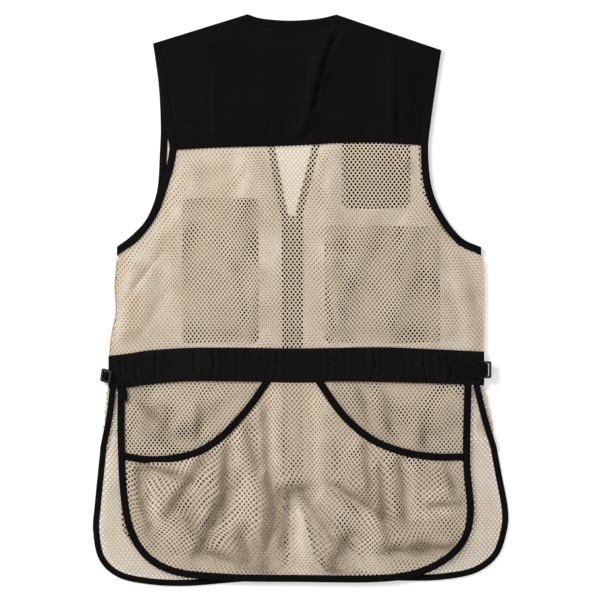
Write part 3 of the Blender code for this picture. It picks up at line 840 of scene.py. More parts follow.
    def pull(self, points: np.ndarray, how: Pull, folds: Sequence[Fold] = (),
             creases: Sequence[Fold] = ()) -> np.ndarray:
        """How far a net is pulled out of square, into its folds and into its creases."""
        loose = np.column_stack([ripple(points, how.seed + way, how.length) for way in (0, 1)])
        wide = [crease._replace(width=self.crease_reach * crease.width) for crease in creases]
        into_folds = drawn_in(points, folds, how.draw, self.fold_slip)
        return how.size * loose + into_folds + drawn_in(points, wide, self.crease_draw, self.crease_slip)

    def painted_shading_map(self, points: np.ndarray, folds: Sequence[Fold],
              painted_light_folds: Sequence[Fold] = ()) -> np.ndarray:
        """Painted shade along the laps, uneven along each, and painted light on the fold ridges: above 0
        darker, below 0 lighter.
        """
        deep = [fold._replace(height=abs(fold.height) / self.painted_shade_height, width=part * fold.width)
                for fold in folds for part in self.painted_shade_widths]
        dark = ridges(points, deep) * (0.8 + self.painted_shading_waves.at(points))
        # Painted light: the net's colour is lightened along the ridges of these folds.
        crests = [fold._replace(height=fold.height / self.painted_light_height) for fold in painted_light_folds]
        pale = np.clip(ridges(points, crests), 0.0, 1.0)
        return np.clip(dark - self.painted_light_share * pale, *self.painted_shading_range)

    def front(self, side: Side, points: np.ndarray) -> np.ndarray:
        """Height of a front's net, which dips into the tape along its edges."""
        edges = self.pattern.front_edges(side)
        turned = faced(side, points)
        low = edges["lower"][edges["lower"][:, 1] < self.pattern.vent_foot]
        rows = [edges["armhole"], edges["upper"], low]
        away = np.minimum.reduce([nearest(turned, line)[0] for line in rows])
        dip = 1 - ease(away - self.pattern.tape_width, self.tape_fade)
        return self.layers.front - self.layers.gap - dip * self.layers.cloth * self.tape_dip


def put(node: bpy.types.Node, **values: object) -> None:
    """Sets some of a node's inputs, by their names with _ for a blank."""
    for name, value in values.items():
        node.inputs[name.replace("_", " ")].default_value = value


def new_material(name: str) -> tuple[bpy.types.Material, bpy.types.Node, Callable, Callable]:
    """A new material.

    Args:
        name: Its name.

    Returns:
        The material, its shader, what adds a node and what links two sockets.
    """
    made = bpy.data.materials.new(name)
    made.use_nodes = True
    tree = made.node_tree
    return made, tree.nodes["Principled BSDF"], tree.nodes.new, tree.links.new


@dataclass(frozen=True)
class ClothFinish:
    """A woven or knitted finish.

    Attributes:
        name: The material's name.
        colour: The usual colour, linear.
        pale: The colour of its paler patches, linear.
        roughness: How rough it is.
        thread: The distance between threads, in millimetres.
        depth: How deep the threads' relief is, in millimetres.
        lengthwise: Whether the threads follow the piece's own length instead of the vest.
        sheen: The strength of its nap.
        close: The tint of the painted shade in folds, set by the piece's attribute of painted shading; where
            that attribute is below 0 it paints light instead.
        gloss: How strongly it mirrors.
    """

    name: str
    colour: tuple[float, float, float]
    pale: tuple[float, float, float]
    roughness: float
    thread: float
    depth: float
    lengthwise: bool = False
    sheen: float = 0.1
    close: tuple[float, float, float] | None = None
    gloss: float = 0.085

    def material(self) -> bpy.types.Material:
        """The finish as a material."""
        made, shader, add, link = new_material(self.name)
        place = add("ShaderNodeUVMap" if self.lengthwise else "ShaderNodeTexCoord")
        weave, bump = add("ShaderNodeGroup"), add("ShaderNodeBump")
        weave.node_tree = weave_group()
        put(weave, Thread=self.thread * MM, Colour=(*self.colour, 1.0), Pale=(*self.pale, 1.0))
        put(bump, Strength=1.0, Distance=self.depth * MM)
        link(place.outputs["UV" if self.lengthwise else "Object"], weave.inputs["Place"])
        link(weave.outputs["Height"], bump.inputs["Height"])
        link(weave.outputs["Colour"], shader.inputs["Base Color"])
        link(bump.outputs["Normal"], shader.inputs["Normal"])
        # Painted shade and painted light: the piece's attribute multiplies the colour towards this tint, and
        # below 0 lightens it.
        if self.close is not None:
            near, tint = add("ShaderNodeAttribute"), add("ShaderNodeMix")
            near.attribute_name = "close"
            tint.data_type, tint.blend_type, tint.clamp_factor = "RGBA", "MULTIPLY", False
            put(tint, B=(*self.close, 1.0))
            link(near.outputs["Fac"], tint.inputs["Factor"])
            link(weave.outputs["Colour"], tint.inputs["A"])
            link(tint.outputs["Result"], shader.inputs["Base Color"])
        put(shader, Roughness=self.roughness, Specular_IOR_Level=self.gloss, Sheen_Weight=self.sheen,
            Sheen_Roughness=0.5)
        return made


SLOW_NOISE, QUICK_NOISE = (14.0, 4.0), (900.0, 2.0)
PALE_FROM, PALE_TO = 0.36, 0.64


def weave_group() -> bpy.types.NodeTree:
    """The shared weave: crossing threads, and slow changes of colour.

    Returns:
        The node group, made the first time that it is asked for.
    """
    name = "crossing_threads"
    if name in bpy.data.node_groups:
        return bpy.data.node_groups[name]
    group = bpy.data.node_groups.new(name, "ShaderNodeTree")
    for socket, way, kind in (("Place", "INPUT", "Vector"), ("Thread", "INPUT", "Float"),
                              ("Colour", "INPUT", "Color"), ("Pale", "INPUT", "Color"),
                              ("Height", "OUTPUT", "Float"), ("Colour", "OUTPUT", "Color")):
        group.interface.new_socket(socket, in_out=way, socket_type=f"NodeSocket{kind}")
    nodes, links = group.nodes, group.links
    given, out = nodes.new("NodeGroupInput"), nodes.new("NodeGroupOutput")

    def sum_of(kind: str, first: object, second: object) -> bpy.types.NodeSocket:
        """One sum on two sockets or values."""
        node = nodes.new("ShaderNodeMath")
        node.operation = kind
        for socket, value in zip(node.inputs, (first, second)):
            if isinstance(value, bpy.types.NodeSocket):
                links.new(value, socket)
            elif value is not None:
                socket.default_value = value
        return node.outputs[0]

    parts = nodes.new("ShaderNodeSeparateXYZ")
    links.new(given.outputs["Place"], parts.inputs[0])
    threads = []
    for axis in ("X", "Y"):
        turns = sum_of("DIVIDE", parts.outputs[axis], given.outputs["Thread"])
        threads.append(sum_of("SINE", sum_of("MULTIPLY", turns, 2 * math.pi), None))
    crossed = sum_of("MULTIPLY", threads[0], threads[1])
    links.new(sum_of("MULTIPLY_ADD", crossed, 0.5), out.inputs["Height"])
    slow, quick = nodes.new("ShaderNodeTexNoise"), nodes.new("ShaderNodeTexNoise")
    for noise, (scale, detail) in ((slow, SLOW_NOISE), (quick, QUICK_NOISE)):
        links.new(given.outputs["Place"], noise.inputs["Vector"])
        put(noise, Scale=scale, Detail=detail)
    both = sum_of("MULTIPLY", sum_of("ADD", slow.outputs[0], quick.outputs[0]), 0.5)
    patches, mix = nodes.new("ShaderNodeMapRange"), nodes.new("ShaderNodeMix")
    put(patches, From_Min=PALE_FROM, From_Max=PALE_TO)
    links.new(both, patches.inputs["Value"])
    mix.data_type = "RGBA"
    links.new(patches.outputs["Result"], mix.inputs["Factor"])
    links.new(given.outputs["Colour"], mix.inputs["A"])
    links.new(given.outputs["Pale"], mix.inputs["B"])
    links.new(mix.outputs["Result"], out.inputs["Colour"])
    return group


@dataclass(frozen=True)
class HardFinish:
    """A moulded plastic or a metal finish."""

    name: str
    colour: tuple[float, float, float]
    roughness: float
    metallic: float = 0.0
    grain: float = 0.05
    grain_scale: float = 1800.0
    wear: tuple[float, float] = (-0.06, 0.08)
    fading: float = 1.35

    def material(self) -> bpy.types.Material:
        """The finish as a material, with a fine moulded grain."""
        made, shader, add, link = new_material(self.name)
        place, noise = add("ShaderNodeTexCoord"), add("ShaderNodeTexNoise")
        link(place.outputs["Object"], noise.inputs["Vector"])
        bump, wear, tint = add("ShaderNodeBump"), add("ShaderNodeMapRange"), add("ShaderNodeMix")
        tint.data_type = "RGBA"
        put(shader, Metallic=self.metallic)
        put(noise, Scale=self.grain_scale)
        put(bump, Distance=self.grain * MM)
        put(wear, To_Min=self.roughness + self.wear[0], To_Max=self.roughness + self.wear[1])
        put(tint, A=(*self.colour, 1.0), B=(*(self.fading * part for part in self.colour), 1.0))
        for node, given, output, taken in ((bump, "Height", "Normal", "Normal"),
                                           (wear, "Value", "Result", "Roughness"),
                                           (tint, "Factor", "Result", "Base Color")):
            link(noise.outputs[0], node.inputs[given])
            link(node.outputs[output], shader.inputs[taken])
        return made


@dataclass
class Finishes:
    """Every finish on the vest, made once."""

    # The net's tint for painted shade in its folds and creases.
    net: ClothFinish = ClothFinish("tan_net", (0.67, 0.555, 0.415), (0.76, 0.645, 0.495), 0.7, 0.5, 0.06,
                                   sheen=0.15, close=(0.52, 0.48, 0.42))
    cloth: ClothFinish = ClothFinish(
        "black_twill", (0.0032, 0.0026, 0.0028), (0.0054, 0.0044, 0.0047), 0.9, 0.55, 0.05, sheen=0.009)
    tape: ClothFinish = ClothFinish(
        "black_tape", (0.0032, 0.0026, 0.0028), (0.0055, 0.0045, 0.0048), 0.88, 0.9, 0.08, True, 0.009)
    strap: ClothFinish = ClothFinish(
        "black_webbing", (0.0032, 0.0029, 0.003), (0.0055, 0.005, 0.0052), 0.85, 1.3, 0.14, True, 0.009)
    elastic: ClothFinish = ClothFinish(
        "black_elastic", (0.0033, 0.0027, 0.0028), (0.006, 0.0048, 0.0051), 0.72, 0.7, 0.07, True, 0.011)
    thread: ClothFinish = ClothFinish(
        "black_thread", (0.0045, 0.0038, 0.0041), (0.008, 0.007, 0.0075), 0.75, 0.4, 0.03, sheen=0.015)
    plastic: HardFinish = HardFinish("dark_plastic", (0.014, 0.0145, 0.016), 0.42)
    metal: HardFinish = HardFinish("dark_metal", (0.05, 0.05, 0.052), 0.38, metallic=0.8, grain=0.02)
    made: dict[str, bpy.types.Material] = field(default_factory=dict)

    def get(self, name: str) -> bpy.types.Material:
        """The material of a finish, by its name here."""
        if name not in self.made:
            self.made[name] = getattr(self, name).material()
        return self.made[name]


@dataclass(frozen=True)
class Weave:
    """Open net: long six-sided holes, each row half a hole along from the last.

    Attributes:
        across: Distance between holes along a row, in millimetres.
        along: Distance between rows that stand in line, in millimetres.
        turn: How far the net is turned on the cloth, in degrees.
        drop: How far a strand's edge lies below its middle, in millimetres.
        hole: The corners of a hole, from its centre.
        edge: How far in from the outline the net may be pulled out of square.
    """

    across: float = 5.57
    along: float = 7.43
    turn: float = 0.0
    drop: float = 0.6
    hole: tuple[At, ...] = (
        At(0, 1.95), At(-1.42, 0.86), At(-1.42, -0.86), At(0, -1.95), At(1.42, -0.86), At(1.42, 0.86),
    )
    edge: float = 24.0

    @property
    def reach(self) -> float:
        """How far the corner between three holes lies above a hole's centre."""
        half = (self.across / 2, self.along / 2)
        return (half[0] ** 2 + half[1] ** 2) / (2 * half[1])

    def piece(self, name: str, outline: Line, height: Height, pull: Height, cut: Line | None = None,
              painted_shading_map: Height | None = None, only: Line | None = None) -> bpy.types.Object:
        """A net over an outline.

        Args:
            name: The piece's name.
            outline: Its edge, in millimetres.
            height: The height of the net's upper side at any place.
            pull: How far the net is pulled out of square at any place, two numbers a row.
            cut: The outline of an opening in it, if it has one.
            painted_shading_map: The painted shading at any place: painted shade up to 1, painted light below
                0.
            only: The outline of the part of it that is wanted, if that isn't all.

        Returns:
            The net as one open mesh, a ring of faces round each hole.
        """
        middle = outline.mean(axis=0)
        angle = math.radians(self.turn)
        spin = np.array([[math.cos(angle), -math.sin(angle)], [math.sin(angle), math.cos(angle)]])
        local = (outline - middle) @ spin
        low, high = local.min(axis=0) - 2 * self.along, local.max(axis=0) + 2 * self.along
        rows = int((high[1] - low[1]) / (self.along / 2)) + 1
        columns = int((high[0] - low[0]) / self.across) + 1
        row, column = np.meshgrid(np.arange(rows), np.arange(columns), indexing="ij")
        xs = low[0] + (column + 0.5 * (row % 2)) * self.across
        ys = low[1] + row * self.along / 2
        centres = np.stack([xs, ys], axis=-1).reshape(-1, 2)
        spots = centres @ spin.T + middle
        kept = inside(spots, outline)
        if cut is not None:
            kept &= ~inside(spots, cut)
        if only is not None:
            kept &= inside(spots, only)
        kept = kept.reshape(rows, columns)
        kept[[0, -1], :] = kept[:, [0, -1]] = False
        here, there = np.nonzero(kept)
        index = np.arange(rows * columns).reshape(rows, columns)
        left, right = there - 1 + here % 2, there + here % 2
        own, foot = index[here, there], rows * columns
        corners = np.stack([own, foot + index[here + 1, left], index[here - 1, left], foot + own,
                            index[here - 1, right], foot + index[here + 1, right]], axis=1)
        used, corners = np.unique(corners, return_inverse=True)
        corners = corners.reshape(-1, 6)
        ends = np.vstack([centres + (0, self.reach), centres - (0, self.reach)])[used]
        rims = (centres[own][:, None, :] + np.array(self.hole)[None]).reshape(-1, 2)
        places = np.vstack([ends, rims]) @ spin.T + middle
        away = nearest(places, closed(outline))[0] * inside(places, outline)
        places += pull(places) * ease(away, self.edge)[:, None]
        outside = ~inside(places, outline)
        places[outside] = nearest(places[outside], closed(outline))[1]
        tops = height(places)
        tops[len(ends):] -= self.drop
        rim = len(ends) + np.arange(len(own) * 6).reshape(-1, 6)
        faces = np.stack([corners, np.roll(corners, -1, axis=1), np.roll(rim, -1, axis=1), rim], axis=-1)
        faces = faces.reshape(-1, 4)
        made = new_piece(name, np.column_stack([places, tops]), faces)
        # The painted shade and light are kept on the mesh for the net's material.
        if painted_shading_map is not None:
            made.data.attributes.new("close", "FLOAT", "POINT").data.foreach_set("value", painted_shading_map(places))
        return made


def sheet_piece(name: str, outline: Line, step: float, height: Height, thick: float) -> bpy.types.Object:
    """A wall of plain cloth over an outline, with its edge turned down.

    Args:
        name: The piece's name.
        outline: Its edge, in millimetres.
        step: The distance between the points of its surface.
        height: The height of its upper side at any place.
        thick: The thickness of the wall.

    Returns:
        The wall as one closed mesh.
    """
    if area_of(outline) < 0:
        outline = outline[::-1]
    edge = resampled(closed(outline), step)[:-1]
    low, high = edge.min(axis=0), edge.max(axis=0)
    xs, ys = np.meshgrid(np.arange(low[0], high[0], step), np.arange(low[1], high[1], step * ROW_STEP))
    xs[1::2] += step / 2
    lattice = np.stack([xs.ravel(), ys.ravel()], axis=1)
    lattice = lattice[inside(lattice, edge)]
    lattice = lattice[nearest(lattice, closed(edge))[0] > 0.5 * step]
    points = [Vector(place) for place in np.vstack([edge, lattice]).tolist()]
    flat, _, faces, _, _, _ = delaunay_2d_cdt(points, [], [list(range(len(edge)))], 1, 1e-5)
    places = np.array([tuple(place) for place in flat])
    tops = height(places)
    piece = new_piece(name, np.column_stack([places, tops]), [list(face) for face in faces])
    with edited(piece) as work:
        for face in work.faces:
            if face.normal.z < 0:
                face.normal_flip()
        made = bmesh.ops.extrude_face_region(work, geom=work.faces[:])["geom"]
        lower = [item for item in made if isinstance(item, bmesh.types.BMVert)]
        bmesh.ops.translate(work, verts=lower, vec=(0, 0, -thick * MM))
        bmesh.ops.recalc_face_normals(work, faces=work.faces[:])
    return piece


def swept_piece(name: str, outer: Line, inner: Line, base: np.ndarray, profile: Sequence[At],
                relief: Callable[[np.ndarray, np.ndarray], np.ndarray] | None = None) -> bpy.types.Object:
    """A tape between two edges that run side by side, with the same section all along.

    Args:
        name: The piece's name.
        outer: The outer edge, in millimetres.
        inner: The inner edge, with as many points.
        base: The height of the underside at each point.
        profile: The section as a closed ring: x from 0 at the outer edge to 1, y the height over the base.
        relief: The extra height, from the distance along and the x of the profile.

    Returns:
        The tape as one closed mesh with a UV map in metres, along and across.
    """
    rows, ring = len(outer), len(profile)
    length = along_line((outer + inner) / 2)
    width = float(np.linalg.norm(inner - outer, axis=1).mean())
    across, rise = np.array(profile, dtype=float).T
    flat = outer[:, None, :] + (inner - outer)[:, None, :] * across[None, :, None]
    heights = base[:, None] + rise[None, :]
    if relief is not None:
        grid = np.stack(np.broadcast_arrays(length[:, None], across[None, :]), axis=-1).reshape(-1, 2)
        extra = relief(grid[:, 0], grid[:, 1]).reshape(rows, ring)
        heights = heights + extra * (rise > 0.35 * rise.max())[None, :]
    points = np.concatenate([flat, heights[..., None]], axis=-1).reshape(-1, 3)
    index = np.arange(rows * ring).reshape(rows, ring)
    after = np.roll(index, -1, axis=1)
    sides = np.stack([index[:-1], after[:-1], after[1:], index[1:]], axis=-1).reshape(-1, 4).tolist()
    caps = [index[0][::-1].tolist(), index[-1].tolist()]
    piece = new_piece(name, points, sides + caps)
    with edited(piece) as work:
        bmesh.ops.recalc_face_normals(work, faces=work.faces[:])
        marks = work.loops.layers.uv.new("along")
        for face in work.faces:
            for loop in face.loops:
                row, spot = divmod(loop.vert.index, ring)
                loop[marks].uv = (length[row] * MM, across[spot] * width * MM)
    return piece


@dataclass(frozen=True)
class Stitching:
    """A row of lockstitches, each a short thread that dips into the cloth at both ends."""

    pitch: float = 3.0
    length: float = 2.3
    thick: float = 0.42

    def piece(self, name: str, rows: Sequence[Line]) -> bpy.types.Object:
        """Rows of stitches as one mesh.

        Args:
            name: The piece's name.
            rows: The lines of the stitches, each with three numbers a point, on the cloth.

        Returns:
            The stitches, eight faces each.
        """
        spots, faces = [], []
        for row in rows:
            line = resampled(row, self.pitch / 2)
            for start, middle, end in zip(line[0:-2:2], line[1:-1:2], line[2::2]):
                run = (end - start) / np.linalg.norm(end - start)
                side = np.array([run[1], -run[0], 0.0])
                side *= self.thick / 2 / max(1e-6, np.linalg.norm(side))
                up = np.array([0.0, 0.0, self.thick / 2])
                half = run * self.length / 2
                first = 6 * len(spots)
                spots.append([middle - half - up, middle + side, middle + up, middle - side, middle - up,
                              middle + half - up])
                for a, b in ((1, 2), (2, 3), (3, 4), (4, 1)):
                    faces += [[first, first + b, first + a], [first + 5, first + a, first + b]]
        return new_piece(name, np.array(spots).reshape(-1, 3), faces)


BINDING_SECTION = (
    At(0, 0.9), At(0.025, 1.6), At(0.09, 1.95), At(0.3, 2.1), At(0.6, 2.05), At(0.78, 1.85), At(0.84, 1.8),
    At(0.9, 1.9), At(0.97, 1.6), At(1, 1.0), At(0.96, 0.3), At(0.8, 0), At(0.2, 0), At(0.04, 0.2),
)
HEM_SECTION = (
    At(0, 1.4), At(0.025, 2.4), At(0.09, 2.9), At(0.3, 3.1), At(0.6, 3.0), At(0.78, 2.75), At(0.84, 2.7),
    At(0.9, 2.8), At(0.97, 2.4), At(1, 1.5), At(0.96, 0.4), At(0.8, 0), At(0.2, 0), At(0.04, 0.3),
)
ROLL_SECTION = (
    At(0, 0.5), At(0.06, 0.8), At(0.22, 0.97), At(0.5, 1.0), At(0.78, 0.95), At(0.94, 0.8), At(1, 0.5),
    At(0.94, 0.2), At(0.75, 0.03), At(0.25, 0.03), At(0.06, 0.2),
)

WEBBING_SECTION = (
    At(0, 0.5), At(0.02, 0.9), At(0.06, 1.0), At(0.2, 0.96), At(0.35, 1.0), At(0.5, 0.96), At(0.65, 1.0),
    At(0.8, 0.96), At(0.94, 1.0), At(0.98, 0.9), At(1, 0.5), At(0.98, 0.1), At(0.9, 0), At(0.1, 0),
    At(0.02, 0.1),
)


@dataclass(frozen=True)
class Tape:
    """A tape folded over an edge and stitched along its inner side.

    Attributes:
        name: The piece's name.
        outer: The outer edge, in millimetres.
        inner: The inner edge, with as many points.
        base: The height of the underside at each point.
        section: The section, x across and y up.
        tallest: The height that the section's y is multiplied by.
        seed: Which puckers.
        pucker: How deep the puckers are.
        pucker_lengths: How long the small puckers are, and the slow ones.
    """

    name: str
    outer: Line
    inner: Line
    base: np.ndarray
    section: tuple[At, ...] = BINDING_SECTION
    tallest: float = 1.0
    seed: int = 0
    pucker: float = 0.16
    pucker_lengths: tuple[float, float] = (5.5, 34.0)

    def relief(self, along: np.ndarray, across: np.ndarray) -> np.ndarray:
        """The puckers, deepest by the stitches."""
        places = np.column_stack([along, np.zeros_like(along)])
        short, long = self.pucker_lengths
        small = ripple(places, self.seed + 40, short) * (0.35 + 0.65 * across)
        slow = ripple(places, self.seed + 80, long)
        return self.pucker * (small + 0.8 * slow)

    def piece(self) -> bpy.types.Object:
        """The tape as one closed mesh."""
        section = [At(spot.x, spot.y * self.tallest) for spot in self.section]
        return swept_piece(self.name, self.outer, self.inner, self.base, section, self.relief)

    def stitches(self, share: float) -> Line:
        """A line of stitches along the tape, at a share of its width."""
        upper = [spot for spot in self.section if spot.y > 0.5 * max(part.y for part in self.section)]
        rise = np.interp(share, [spot.x for spot in upper], [spot.y * self.tallest for spot in upper])
        line = self.outer + (self.inner - self.outer) * share
        along = along_line((self.outer + self.inner) / 2)
        tops = self.base + rise + self.relief(along, np.full(len(line), share)) + 0.1
        return np.column_stack([line, tops])


@dataclass
class Nets:
    """The four pieces of open net: the back, the two fronts and the shell pouch."""

    pattern: Pattern
    relief: Relief
    finishes: Finishes
    tuck: float = 5.5
    under_yoke: float = 4.0
    into_belt: float = 3.0
    back_weave: Weave = Weave()
    front_weave: Weave = Weave(across=5.63, along=7.5, turn=2.0)
    fold_weave: Weave = Weave(across=5.5, along=7.5, turn=7.0, edge=4.0)
    pouch_weave: Weave = Weave(across=5.91, along=7.05, turn=-1.0)
    patch_hole: Patch = Patch("patch_hole", 102, 218, 88, 185, 8)
    fold_width: float = 22.0
    fold_top: float = 1.3
    facing_edge: float = 3.0
    facing_from: float = -150.0
    yoke_dip: float = 1.3
    back_pull: Pull = Pull(101, 0.9, 150, 0.12)
    front_pull: Pull = Pull(111, 2.3, 98)
    pouch_pull: Pull = Pull(121, 2.6, 115, 0.35)
    fold_pull: Pull = Pull(131, 0.6, 60)
    facing_pull: Pull = Pull(141, 1.5, 62)

    def back(self) -> None:
        """The back below its yoke."""
        outline = self.pattern.back(self.tuck, self.under_yoke)

        def height(points: np.ndarray) -> np.ndarray:
            """The relief, with the upper edge tucked under the yoke."""
            below = self.pattern.seam_height(points, 0.0) - points[:, 1]
            return self.relief.back(points) - self.yoke_dip * (1 - ease(below, 5.0))

        pull = partial(self.relief.pull, how=self.back_pull, folds=self.relief.back_folds)
        # Painted shade along the back's laps.
        painted_shading_map = partial(self.relief.painted_shading_map, folds=self.relief.back_laps)
        piece = self.back_weave.piece("back_net", outline, height, pull, painted_shading_map=painted_shading_map)
        dress(piece, self.finishes.get("net"), Slot.NET, "back_panel")
        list(cut_of(outline))

    def front(self, side: Side) -> None:
        """One front, from the shoulder to its hem."""
        outline = self.pattern.front(side, self.tuck)
        cut = box_outline(self.patch_hole) if side is Side.RIGHT else None
        height, pull = partial(self.relief.front, side), partial(self.relief.pull, how=self.front_pull)
        piece = self.front_weave.piece(f"front_net_{side.value}", outline, height, pull, cut)
        (strip, cloth), (band, facing) = self.turned_in(side), self.facing(side, outline)
        pick(piece, strip, band)
        bpy.ops.object.join()
        dress(piece, self.finishes.get("net"), Slot.NET, f"front_panel_{side.value}")
        (width, length), area = cut_of(outline)
        area -= cut_of(cut)[1] if cut is not None else 0.0
        for part in (cloth, facing):
            width += self.fold_width * MM
            area += cut_of(part)[1]

    def turned_in(self, side: Side) -> tuple[bpy.types.Object, Line]:
        """The strip of a front that is folded in under it beside the vent, and its outline."""
        vent = self.pattern.front_edges(side)["vent"] + (0.6, 0)
        foot = np.array([[vent[-1, 0] + 1.2, self.pattern.vent_foot + 1]])
        run = resampled(np.vstack([vent, foot]), self.pattern.step)
        outline = faced(side, np.vstack([run, (run + (self.fold_width, 0))[::-1]]))
        height, pull = partial(level, self.fold_top), partial(self.relief.pull, how=self.fold_pull)
        return self.fold_weave.piece(f"front_net_fold_{side.value}", outline, height, pull), outline

    def facing(self, side: Side, whole: Line) -> tuple[bpy.types.Object, Line]:
        """The second layer of net in a front's skirt, from the back's hem to the front's, and its outline."""
        inner = faced(side, self.pattern.hem(self.facing_edge))
        inner = inner if side is Side.RIGHT else inner[::-1]
        edges = [line[(line[:, 0] < self.facing_from) & (line[:, 1] < self.pattern.vent_foot)]
                 for line in (inner, self.pattern.front_moved(side, "lower", self.tuck))]
        outline = faced(side, np.vstack(edges))

        def pull(points: np.ndarray) -> np.ndarray:
            """The pull of the front, and a little more."""
            return self.relief.pull(points, self.front_pull) + self.relief.pull(points, self.facing_pull)

        name, height = f"front_net_facing_{side.value}", partial(level, self.fold_top)
        return self.front_weave.piece(name, whole, height, pull, only=outline), outline

    def pouch(self) -> None:
        """The shell pouch over the lower back, open at both upper corners."""
        left = self.pattern.opening(Side.LEFT, self.tuck)
        right = self.pattern.opening(Side.RIGHT, self.tuck)
        head = np.array([left[-1], right[0]]) + (0, self.into_belt)
        hem = self.pattern.hem(self.tuck)
        foot = min(left[0, 1], right[-1, 1]) - 1
        outline = np.vstack([left, head, right, hem[hem[:, 1] < foot]])
        pull = partial(self.relief.pull, how=self.pouch_pull, folds=self.relief.pouch_folds,
                       creases=self.relief.pouch_laps)
        # Painted shade along the pouch's laps, painted light on its fold ridges.
        painted_shading_map = partial(self.relief.painted_shading_map, folds=self.relief.pouch_laps, painted_light_folds=self.relief.pouch_folds)
        piece = self.pouch_weave.piece("pouch_net", outline, self.relief.pouch, pull, painted_shading_map=painted_shading_map)
        dress(piece, self.finishes.get("net"), Slot.NET, "shell_pouch")
        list(cut_of(outline))

    def build(self) -> None:
        """All four nets."""
        self.back()
        self.pouch()
        for side in Side:
            self.front(side)


@dataclass
class Yoke:
    """The black cloth over the shoulders, sewn to the net with its edge folded under."""

    pattern: Pattern
    relief: Relief
    finishes: Finishes
    tuck: float = 4.5
    step: float = 3.1
    thick: float = 1.0
    fold: float = 7.0
    fold_rise: float = 0.45
    groove: float = 0.25
    groove_width: float = 0.9
    pucker: Waves = Waves(0.22, 11, 9, 0.2)
    pucker_zone: tuple[float, float] = (8.0, 14.0)
    stitch_at: tuple[float, ...] = (2.2, 7.6)

    def height(self, points: np.ndarray) -> np.ndarray:
        """The relief, thicker where the folded edge lies under the cloth."""
        above = points[:, 1] - self.pattern.seam_height(points, 0.0)
        doubled = self.fold_rise * (1 - ease(above - self.fold, 2.0)) * ease(above + 0.5, 1.5)
        grooves = sum(np.exp(-(((above - at) / self.groove_width) ** 2)) for at in self.stitch_at)
        start, run = self.pucker_zone
        pucker = self.pucker.at(points) * (1 - ease(above - start, run))
        return self.relief.yoke(points) + doubled - self.groove * grooves + pucker

    def build(self) -> None:
        """The cloth and its stitches."""
        outline = self.pattern.yoke(self.tuck, 0.0)
        piece = sheet_piece("yoke_cloth", outline, self.step, self.height, self.thick)
        dress(piece, self.finishes.get("cloth"), Slot.CLOTH, "back_yoke")
        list(cut_of(outline))
        left, right = (self.pattern.armhole_back(side, self.pattern.tape_width) for side in Side)
        rows = []
        for at in self.stitch_at:
            line = self.pattern.seam_between(left, right, at)
            rows.append(np.column_stack([line, self.height(line) + 0.12]))
        dress(Stitching().piece("yoke_stitches", rows), self.finishes.get("thread"), Slot.CLOTH)


@dataclass
class Bindings:
    """Every taped edge, with its stitches."""

    pattern: Pattern
    relief: Relief
    layers: Layers
    finishes: Finishes
    stitch_share: float = 0.84
    front_hem_width: float = 8.6
    climb_from: float = -208.0
    climb_over: float = 12.0
    tapes: list[Tape] = field(default_factory=list)

    def add(self, name: str, outer: Line, inner: Line, base: float | np.ndarray, **more: object) -> None:
        """One tape, with its underside at an even height or at one for each point."""
        heights = np.zeros(len(outer)) + base
        self.tapes.append(Tape(name, outer, inner, heights, seed=len(self.tapes), **more))

    def back(self) -> None:
        """The back's armholes, neck and hem."""
        width = self.pattern.tape_width
        base = self.layers.over_back - self.layers.gap - self.layers.cloth
        for side in Side:
            edges = [self.pattern.armhole_back(side, inset) for inset in (0.0, width)]
            self.add(f"tape_armhole_back_{side.value}", *edges, base)
        self.add("tape_neck_back", self.pattern.neck_back(0.0), self.pattern.neck_back(width), base)
        self.add("tape_hem_back", self.pattern.hem(0.0), self.pattern.hem(width), base, section=HEM_SECTION)

    def pouch(self) -> None:
        """The pouch openings, which stand off the back with the pouch."""
        for side in Side:
            outer, inner = (self.pattern.opening(side, inset) for inset in (0.0, self.pattern.tape_width))
            lift = self.relief.pouch_lift((outer + inner) / 2)
            self.add(f"tape_pouch_{side.value}", outer, inner, self.layers.over_back + lift)

    def climb(self, line: Line) -> np.ndarray:
        """The underside of a front's hem tape, which climbs onto the net's folded edge by the vent."""
        return self.layers.over_front * ease(line[:, 1] - self.climb_from, self.climb_over)

    def front(self, side: Side) -> None:
        """A front's armhole, neck, zip edge and hem."""
        width, narrow = self.pattern.tape_width, self.front_hem_width
        edges = self.pattern.front_edges(side)
        for name, label, inset in (("armhole", "armhole_front", width), ("upper", "front", width),
                                   ("lower", "hem_front", narrow)):
            outer = faced(side, edges[name])
            inner = faced(side, self.pattern.front_moved(side, name, inset))
            base = self.climb((outer + inner) / 2) if name == "lower" else 0.0
            self.add(f"tape_{label}_{side.value}", outer, inner, base)

    def build(self) -> None:
        """All the tapes, and their stitches as one piece."""
        self.back()
        self.pouch()
        for side in Side:
            self.front(side)
        for tape in self.tapes:
            dress(tape.piece(), self.finishes.get("tape"), Slot.TAPE, tape.name.replace("tape", "binding"))
        rows = [tape.stitches(self.stitch_share) for tape in self.tapes]
        dress(Stitching().piece("tape_stitches", rows), self.finishes.get("thread"), Slot.TAPE)


